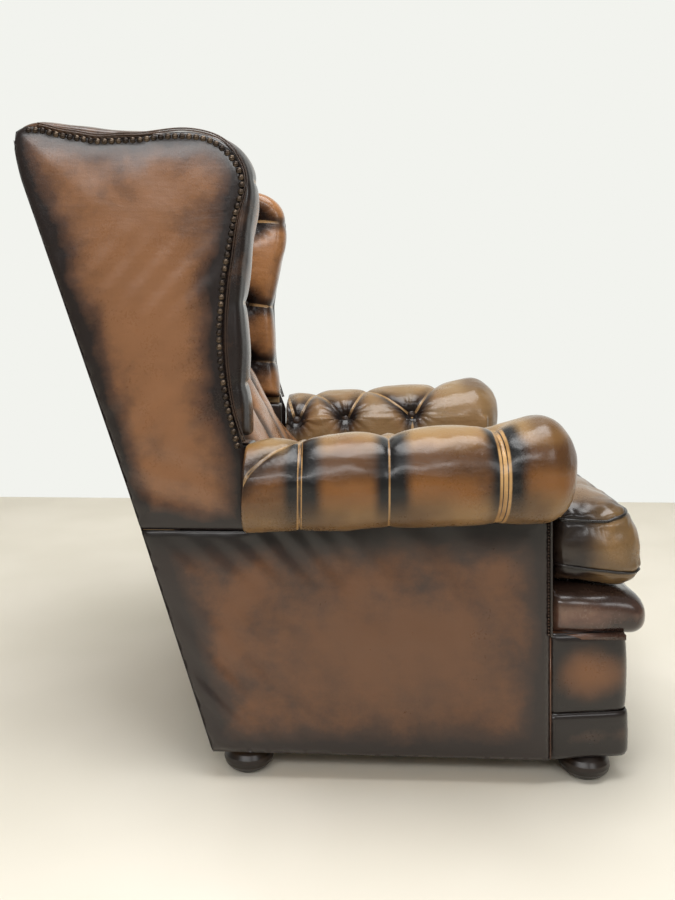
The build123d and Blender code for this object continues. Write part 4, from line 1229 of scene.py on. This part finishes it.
face = [face_point(0, z)[1:] for z in np.linspace(330, 900, 60)]
turns = np.linspace(0.12, math.pi / 2, 12)
over_top = [(300 + 86 * (1 - math.cos(t)), 900 + 90 * math.sin(t)) for t in turns]
top_rear = [(432, 990), (452, 984), (466, 968)]
profile = np.array([(24, 324)] + face + over_top + top_rear + [(raked_y(320, 4), 320)])
stack = rounding(-254.7, 9, 9, (0, 30, 60, 90))
stack += [(-x, inset) for x, inset in stack[::-1]]
back_form = tube_form([at_x(x, shrunk(profile, inset)) for x, inset in stack])
back = even_skin("inside_back_cover", [back_form], 4.5)
relax(back, 3)
points = points_of(back)
before_rear = rear_y(900.0) - points[:, 1] - (900.0 - points[:, 2]) * math.tan(rake)
points[:, 1] += side_fall(points[:, 0], points[:, 2]) * unit(before_rear / 90.0)
set_points(back, points)
press_back(back)
dress(back, "inside", replaced=["inside_back"])

# %% [markdown]
# ## Front edge, block and plinth band
# Under the cushion's front the chair has a hard padded edge, bull-nosed and shiny from use, and below
# it the front block, covered in one band of leather that turns the corners, with a narrower band
# sewn round its foot. Each band is worked flat as a puffed panel, then bent round the block's plan.

# %% Lip
def lip_ring(inset):
    ring = [(-331.0, 215.5)]
    ring += [(-450 - 28 * math.sin(t), 242 - 27 * math.cos(t)) for t in np.linspace(0, math.pi / 2, 9)]
    ring += [(-433 - 45 * math.cos(t), 247 + 36 * math.sin(t)) for t in np.linspace(0.05, math.pi / 2, 11)]
    ring += [(-331.0, 284.0)]
    return shrunk(np.array(ring), inset)


stack = rounding(-323, 34, 26, range(0, 91, 15))
stack += [(x, 0.0) for x in (-200, 0, 200)] + [(-x, inset) for x, inset in stack[::-1]]
lip = even_skin("front_lip_cover", [tube_form([at_x(x, lip_ring(inset)) for x, inset in stack])], 4.0)
relax(lip, 3)
points, normals = points_of(lip), normals_of(lip)
slack = np.sin(points[:, 0] / 9.0 + 2 * ripple(points, 120.0, 82)) * unit((-390 - points[:, 1]) / 30)
sag = 0.9 * ripple(points, 70.0, 81) + 0.5 * slack
set_points(lip, points + normals * (sag * (points[:, 2] < 280))[:, None])
ends = np.exp(-np.abs(np.abs(points[:, 0]) - 320) / 12.0)
keep(lip, "rim", np.exp(-np.abs(points[:, 2] - 215) / 12.0) + 0.4 * ends)
dress(lip, "lip", replaced=["front_lip"])
underside = form_piece("front_lip_underside", [box_form((-321, -441, 214), (321, -331, 221.6))])
dress(underside, "dark")


# %% Block, band and deck
def bent_place(corners, radius):
    """place(u, v, w) for a panel bent along a level path, and the path's length."""
    corners = [np.array(corner, float) for corner in corners]
    path = corners[:1]
    for before, here, after in zip(corners, corners[1:], corners[2:]):
        path += cut_corner(before, here, after, radius, 9)
    path = even_line(path + corners[-1:], 3.0)
    along = np.concatenate([[0], np.cumsum(np.linalg.norm(np.diff(path, axis=0), axis=1))])
    way = np.gradient(path, axis=0)
    out = np.column_stack([way[:, 1], -way[:, 0]]) / np.linalg.norm(way, axis=1)[:, None]

    def place(u, v, w):
        x, y, out_x, out_y = (np.interp(u, along, table) for table in (*path.T, *out.T))
        return x + w * out_x, y + w * out_y, v

    return place, along[-1]


def band_piece(name, replaced, proud, z0, z1, rise, seed):
    right = [(310 + proud - 3, -446 - proud + 3), (326 + proud - 3, -327.3)]
    left = [(-x, y) for x, y in right[::-1]]
    place, length = bent_place(left + right, 14.0)
    outline = np.array([(0.3, z0), (length - 0.3, z0), (length - 0.3, z1), (0.3, z1)])
    piece = panel_piece(name, outline, place, seed, rise=rise, soft=22.0, step=6.5, wrinkle=0.7)
    dress(piece, "block", replaced=[replaced])


band_piece("front_border_cover", "front_border", 0.0, 103.0, 223.0, 4.0, 91)
band_piece("plinth_band_cover", "plinth_band", 3.0, 39.0, 105.5, 2.5, 92)

(x0, y0, _), (x1, y1, _) = (np.array(corner) * 1000 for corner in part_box("seat_platform"))
x0, y0, x1, y1 = x0 + 0.5, y0 + 0.5, x1 - 0.5, y1 - 0.5
deck = panel_piece("seat_deck_cover", np.array([(x0, y0), (x1, y0), (x1, y1), (x0, y1)]),
                   lambda u, v, w: (u, v, 262.0 + w), 93, thick=21.0, rise=0.8, step=12.0, wrinkle=0.15)
dress(deck, "skirt", replaced=["seat_platform"])

# %% [markdown]
# ## Seat cushion
# The seat cushion is loose and T-shaped: its ears come round the fronts of the arms. It is a boxed
# cushion, so a border strip runs round it between two piped seams, and the top is crowned by its
# filling and worn soft. The plain form is blown up as cloth, which gives the tight seams and slack
# fields of a filled cover.

# %% The cushion's plain form
def rounded_outline(corners, radii):
    """Closed plan with its corners rounded, always with the same number of points."""
    corners = [np.array(corner, float) for corner in corners]
    around = zip(corners[-1:] + corners, corners, corners[1:] + corners[:1], radii)
    return np.vstack([cut_corner(before, here, after, radius, 7) for before, here, after, radius in around])


def cushion_plan(inset, lean):
    """The cover's outline seen from above, inset from its seams all round and leaning back at the front."""
    main_x, ear_x, ear_y = 251 - inset, 320 - inset, -336.5 - 0.35 * inset
    front, rear = -469 + inset + lean, 24 - inset
    right = [(ear_x, front), (ear_x, ear_y), (main_x, ear_y), (main_x, rear)]
    left = [(-x, y) for x, y in right[::-1]]
    ease = 1 - 0.0055 * inset
    return rounded_outline(left[-1:] + right + left[:-1], [r * ease for r in (34, 34, 22, 9, 24, 24, 9, 22)])


def cushion_ring(z, inset, lean):
    plan = cushion_plan(inset, lean)
    return np.column_stack([plan, np.full(len(plan), z)])


def seam_heights(y):
    """Heights of the bottom and top seams, which rise at the cushion's front."""
    low = np.interp(y, (-466, -380, -330, 30), (313, 304, 306, 306))
    high = np.interp(y, (-455, -410, -345, -300, 30), (401, 388, 390, 391, 391))
    return low, high


def seam_line(which, inset, lean):
    plan = even_line(closed(cushion_plan(inset, lean)), 6.0, loop=True)
    return np.column_stack([plan, seam_heights(plan[:, 1])[which]])


rings = [(285, 34, 0), (289, 17, 0), (297, 7, 0), (309, 0, -2), (330, 0, -1), (352, 0, 2), (372, 1, 8),
         (391, 3, 14), (401, 12, 15), (410, 24, 15), (417, 40, 15), (421, 56, 15)]
cushion = even_skin("seat_cushion_cover", [tube_form([cushion_ring(*ring) for ring in rings])], 6.0)
relax(cushion, 2)
points = points_of(cushion)
low, high = seam_heights(points[:, 1])
share = unit((points[:, 2] - 309) / 82)
points[:, 2] += (1 - share) * (low - 309) * unit((points[:, 2] - 285) / 20) + share * (high - 391)
set_points(cushion, points)
top_seam, bottom_seam = seam_line(1, 3.0, 14.0), seam_line(0, 0.0, -2.0)
seam_rings = [closed(top_seam), closed(bottom_seam)]
print("cushion seams", len(top_seam), "and", len(bottom_seam), "points")


# %% Fill and finish the cushion
def filled(piece, held, pressure=4.0, most=13.0):
    """Blows the cover up as cloth, with its seams held, and keeps what the filling would allow."""
    start = points_of(piece)
    group = piece.vertex_groups.new(name="seams")
    group.add(np.flatnonzero(held < 5.0).tolist(), 1.0, "REPLACE")
    cloth = piece.modifiers.new("filling", "CLOTH")
    cloth.settings.quality, cloth.settings.mass = 6, 0.3
    cloth.settings.tension_stiffness = cloth.settings.compression_stiffness = 12.0
    cloth.settings.bending_stiffness, cloth.settings.shrink_min = 0.3, -0.035
    cloth.settings.use_pressure, cloth.settings.uniform_pressure_force = True, pressure
    cloth.settings.effector_weights.gravity = 0.0
    cloth.settings.vertex_group_mass = "seams"
    cloth.collision_settings.use_self_collision = False
    for step in range(1, 21):
        bpy.context.scene.frame_set(step)
    applied(piece)
    piece.vertex_groups.clear()
    bpy.context.scene.frame_set(1)
    move = points_of(piece) - start
    size = np.linalg.norm(move, axis=1)
    move *= (most * np.tanh(size / most) / np.maximum(size, 1e-9))[:, None]
    set_points(piece, start + move)
    print("filling moved points by up to", round(float(size.max()), 1), "mm")


def eared(points):
    """Lifts the worn underside of the ears where they pass the arms."""
    x, y, z = points.T
    lift = 15.0 * unit((np.abs(x) - 262) / 45) * unit((y + 452) / 80) * unit((352 - z) / 45)
    return np.column_stack([x, y, z + lift])


def kept_clear(points):
    """Holds the cushion off the deck, the arms, the back and the arm fronts."""
    x, y, z = points.T
    beside = y > -330
    reach = np.where(beside, 253.0, 327.0)
    x = np.clip(x, -reach, reach)
    in_ear = (np.abs(x) > 253.2) | (~beside & (np.abs(x) > 250))
    y = np.minimum(y, np.where(in_ear, -336.0, 26.0))
    return np.column_stack([x, np.maximum(y, -479.0), np.maximum(z, 284.7)])


filled(cushion, nearest_line(points, seam_rings))
set_points(cushion, kept_clear(points_of(cushion)))
relax(cushion, 1, 0.5)
finer = cushion.modifiers.new("finer", "SUBSURF")
finer.levels = finer.render_levels = 1
applied(cushion)
points, normals = points_of(cushion), normals_of(cushion)
near_seam = nearest_line(points, seam_rings)
along = points[:, 0] - points[:, 1]
pucker = np.sin(along / 4.2 + 2.2 * ripple(points, 60.0, 103)) * bell(near_seam - 11, 10)
soft = 0.9 * ripple(points, 150.0, 101) + 0.5 * ripple(points, 45.0, 102) + 0.45 * pucker
soft -= 2.2 * bell(near_seam, 5.0)
points = points + normals * (soft * (points[:, 2] > 290))[:, None]
set_points(cushion, kept_clear(eared(points)))
in_ear = np.abs(points[:, 0]) > 255
# Glaze darkens the seams; the ears' rear ends, tucked against the arm fronts, get painted shade.
keep(cushion, "rim", 0.9 * np.exp(-near_seam / 9.0) + 0.6 * unit((-345 - points[:, 1]) / -20 * in_ear))
keep(cushion, "swell", np.clip((points[:, 2] - 391) / 30, 0.4, 1))
dress(cushion, "cushion", body="cushion", replaced=["seat_cushion"])

# %% [markdown]
# ## Piping and cords
# A cord rolled in a strip of leather stiffens every seam that shows. It is a tube of one thickness
# along the seam's own line, found on the finished padding, so that it lies in the leather and not
# over it.

# %% Piping and cords
def tube_along(line, radius, loop):
    """A closed round tube along a line, as points and faces."""
    count = 10
    way = np.roll(line, -1, axis=0) - np.roll(line, 1, axis=0) if loop else np.gradient(line, axis=0)
    way /= np.linalg.norm(way, axis=1)[:, None]
    side = np.cross(way[0], (0.31, 0.52, 0.79))
    turn = np.linspace(0, 2 * math.pi, count, endpoint=False)[:, None]
    sections = []
    for point, along in zip(line, way):
        side = side - along * (side @ along)
        side /= np.linalg.norm(side)
        other = np.cross(along, side)
        sections.append(point + radius * (np.cos(turn) * side + np.sin(turn) * other))
    if loop:
        return np.vstack(sections), loop_faces(len(line), count, loop=True)
    return tube_form(sections)


def piping_piece(name, lines, radius, body="chair", loop=False, finish="piping"):
    piece = form_piece(name, [tube_along(line, radius, loop) for line in lines])
    dress(piece, finish, body=body)


def beside(line, distance):
    """A flat line moved sideways, to its left."""
    way = np.gradient(line, axis=0)
    way /= np.linalg.norm(way, axis=1)[:, None]
    return line + distance * np.column_stack([-way[:, 1], way[:, 0]])


def skin_tree(piece):
    faces = [tuple(face.vertices) for face in piece.data.polygons]
    return BVHTree.FromPolygons(points_of(piece).tolist(), faces)


def laid_on(piece, line, lift):
    """A line moved to the nearest point of a piece's skin."""
    tree = skin_tree(piece)
    nearest = [tree.find_nearest(Vector(point)) for point in line]
    return np.array([np.array(place) + lift * np.array(normal) for place, normal, _, _ in nearest])


welt_edge = smooth_line(panel_edge, 4.0)
welts = [at_x(x, beside(welt_edge, distance))[:-9] for distance, x in ((2.0, 334.6), (5.0, outside_face))]
for side, sign in sides:
    piping_piece(f"wing_welt_{side}", [line * (sign, 1, 1) for line in welts], 1.3, finish="welt")
seams = [laid_on(cushion, eared(line), 0.8) for line in (top_seam, bottom_seam)]
piping_piece("cushion_piping", seams, 2.3, body="cushion", loop=True)
front_edge = np.array([(outside_face, -328.6, z) for z in np.linspace(222, 402, 40)])
for side, sign in sides:
    piping_piece(f"edge_cord_{side}", [front_edge * (sign, 1, 1)], 1.9)

# %% [markdown]
# ## Nails, tacks and buttons
# Brass-headed nails close the outside panel along the wing, side by side, small tacks the edge of the
# arm, and leather-covered buttons sit in their dimples. Each is one small shape many times over, so
# Geometry Nodes sets them out: one instance on each point, turned to face out of the leather.

# %% Repeats by Geometry Nodes
def dome_mesh(name, radius, height, count, rings=3, skirt=0.6):
    """Closed dome on a flat foot, facing +Z."""
    turns = np.linspace(0, 2 * math.pi, count, endpoint=False)
    foot = [(radius * math.cos(a), radius * math.sin(a)) for a in turns]
    sections = [[(x, y, -skirt) for x, y in foot]]
    for t in [ring / rings * math.pi / 2 for ring in range(rings)]:
        sections.append([(x * math.cos(t), y * math.cos(t), height * math.sin(t)) for x, y in foot])
    points = np.vstack([*sections, (0, 0, height)])
    last = rings * count
    faces = loop_faces(len(sections), count) + [tuple(range(count))[::-1]]
    faces += [(last + i, last + (i + 1) % count, len(points) - 1) for i in range(count)]
    return add_piece(name, points, faces)


node_kinds = {
    "entry": "NodeGroupInput",
    "points": "GeometryNodeMeshToPoints",
    "shape": "GeometryNodeObjectInfo",
    "facing": "GeometryNodeInputNamedAttribute",
    "turn": "FunctionNodeAlignRotationToVector",
    "onto": "GeometryNodeInstanceOnPoints",
    "real": "GeometryNodeRealizeInstances",
    "coat": "GeometryNodeSetMaterial",
    "end": "NodeGroupOutput",
}
node_links = [
    ("entry", "Places", "points", "Mesh"), ("points", "Points", "onto", "Points"),
    ("shape", "Geometry", "onto", "Instance"), ("facing", "Attribute", "turn", "Vector"),
    ("turn", "Rotation", "onto", "Rotation"), ("onto", "Instances", "real", "Geometry"),
    ("real", "Geometry", "coat", "Geometry"), ("coat", "Geometry", "end", "Result"),
]


def repeated(name, shape, places, facings, material):
    """One closed mesh of a shape set on every place and turned to its facing."""
    mesh = bpy.data.meshes.new(name)
    mesh.from_pydata((np.array(places) / 1000).tolist(), [], [])
    facing = mesh.attributes.new("facing", "FLOAT_VECTOR", "POINT")
    facing.data.foreach_set("vector", np.array(facings, float).ravel())
    tree = bpy.data.node_groups.new(f"set_out_{name}", "GeometryNodeTree")
    tree.interface.new_socket("Places", in_out="INPUT", socket_type="NodeSocketGeometry")
    tree.interface.new_socket("Result", in_out="OUTPUT", socket_type="NodeSocketGeometry")
    nodes = {key: tree.nodes.new(kind) for key, kind in node_kinds.items()}
    nodes["facing"].data_type = "FLOAT_VECTOR"
    nodes["facing"].inputs["Name"].default_value = "facing"
    nodes["turn"].axis = "Z"
    nodes["shape"].inputs["Object"].default_value = shape
    nodes["coat"].inputs["Material"].default_value = material
    for source, output, target, socket in node_links:
        tree.links.new(nodes[source].outputs[output], nodes[target].inputs[socket])
    carrier = placed(name, mesh)
    carrier.modifiers.new("set_out", "NODES").node_group = tree
    return applied(carrier)


def nail_rows(name, shape, places, finish):
    """The same row of nails on both outsides of the chair."""
    for side, sign in sides:
        mirrored = [(sign * x, y, z) for x, y, z in places]
        row = repeated(f"{name}_{side}", shape, mirrored, [(sign, 0, 0)] * len(places), finishes[finish])
        dress(row, finish)


brass = Finish("brass_nail")
brass_colour = brass.mix((92, 78, 64), (46, 38, 33), brass.noise(60.0).step(0.3, 0.6))
finishes["nails"] = brass.done(brass_colour, 0.3, Metallic=0.75)
nail_shape = dome_mesh("nail_head", 4.9, 2.8, 10)
nail_places = [(335.3, y, z) for y, z in smooth_line(nail_line, 10.7)]
nail_rows("wing_nails", nail_shape, nail_places, "nails")
tack_shape = dome_mesh("tack_head", 1.5, 1.1, 6, rings=2)
nail_rows("arm_tacks", tack_shape, [(334.2, -324.6, z) for z in np.arange(226, 400, 4.6)], "welt")
print("nails on each side", len(nail_places))

# %% Covered buttons
button_shape = dome_mesh("covered_button", 9.5, 5.0, 14, rings=4, skirt=2.5)


def button_piece(name, skin, buttons, replaced=()):
    """Buttons where the pressed padding lies under their places."""
    tree = skin_tree(skin)
    places, facings = [], []
    for place, way in buttons:
        way = np.array(way, float) / np.linalg.norm(way)
        hit = tree.ray_cast(Vector(place + 60 * way), Vector(-way), 120.0)[0]
        places.append(np.array(hit or place) + way)
        facings.append(way)
    piece = repeated(name, button_shape, places, facings, finishes["button"])
    dress(piece, "button", replaced=replaced)


def both(places, way, sign=1):
    """Places of the left side with their facing, or the same on the right side."""
    return [(np.array(place) * (sign, 1, 1), np.array(way) * (sign, 1, 1)) for place in places]


wing_way = (-1.0, 0, 0)
button_piece("back_buttons_covered", back, back_buttons, ["back_buttons"])
button_piece("arm_buttons_covered_left", arm, both(far_buttons, arm_way), ["arm_buttons"])
button_piece("arm_buttons_covered_right", arm_right, both(near_buttons, arm_way, -1))
button_piece("wing_buttons_covered_left", wing, both(wing_buttons, wing_way), ["wing_buttons"])
button_piece("wing_buttons_covered_right", wing_right, both(wing_buttons, wing_way, -1))
for shape in (nail_shape, tack_shape, button_shape):
    bpy.data.objects.remove(shape)

# %% [markdown]
# ## Frame, springs and feet
# The wooden frame, springs, webbing and feet keep their CAD shapes, because they are hard and true.
# They only need finishes: bare beech inside, dark stained feet outside, bright wire, jute and black
# dust cloth.

# %% Finishes of the nodes that stay
def wood_finish(name, light, dark, gloss):
    wood = Finish(name)
    rings = wood.noise(6.0, 4.0, 0.6, place=wood.scaled(1.5, 1.5, 22), warp=0.4)
    colour = wood.mix(light, dark, rings.step(0.35, 0.68))
    return wood.done(colour, gloss, wood.bump(rings, 0.0004, 0.3))


def woven_finish(name, light, dark, scale):
    cloth = Finish(name)
    x, y, z = cloth.axes()
    thread = ((x * scale).math("SINE") * ((y + z) * scale).math("SINE")).step(-0.4, 0.4)
    return cloth.done(cloth.mix(dark, light, thread), 0.85, cloth.bump(thread, 0.0003, 0.5))


beech = wood_finish("beech_frame", (206, 172, 126), (178, 140, 96), 0.55)
stained = wood_finish("stained_foot", (38, 27, 21), (22, 16, 13), 0.32)
wire = Finish("bright_wire")
bright = wire.done(wire.mix((150, 150, 152), (120, 120, 124), wire.noise(40.0)), 0.3, Metallic=1.0)
jute = woven_finish("jute_webbing", (178, 148, 102), (120, 96, 62), 1.6)
dust = woven_finish("dust_cloth", (30, 30, 31), (18, 18, 19), 2.4)
stays = {"foot_bolts": bright, "foot": stained, "seat_springs": bright, "spring_clips": bright,
         "back_webbing": jute, "dust_cover": dust}
for name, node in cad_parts.items():
    chosen = next((material for start, material in stays.items() if name.startswith(start)), beech)
    if not node.material_slots:
        node.data.materials.append(chosen)
    for slot in node.material_slots:
        slot.material = chosen
print("finished", len(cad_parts), "nodes of the frame")
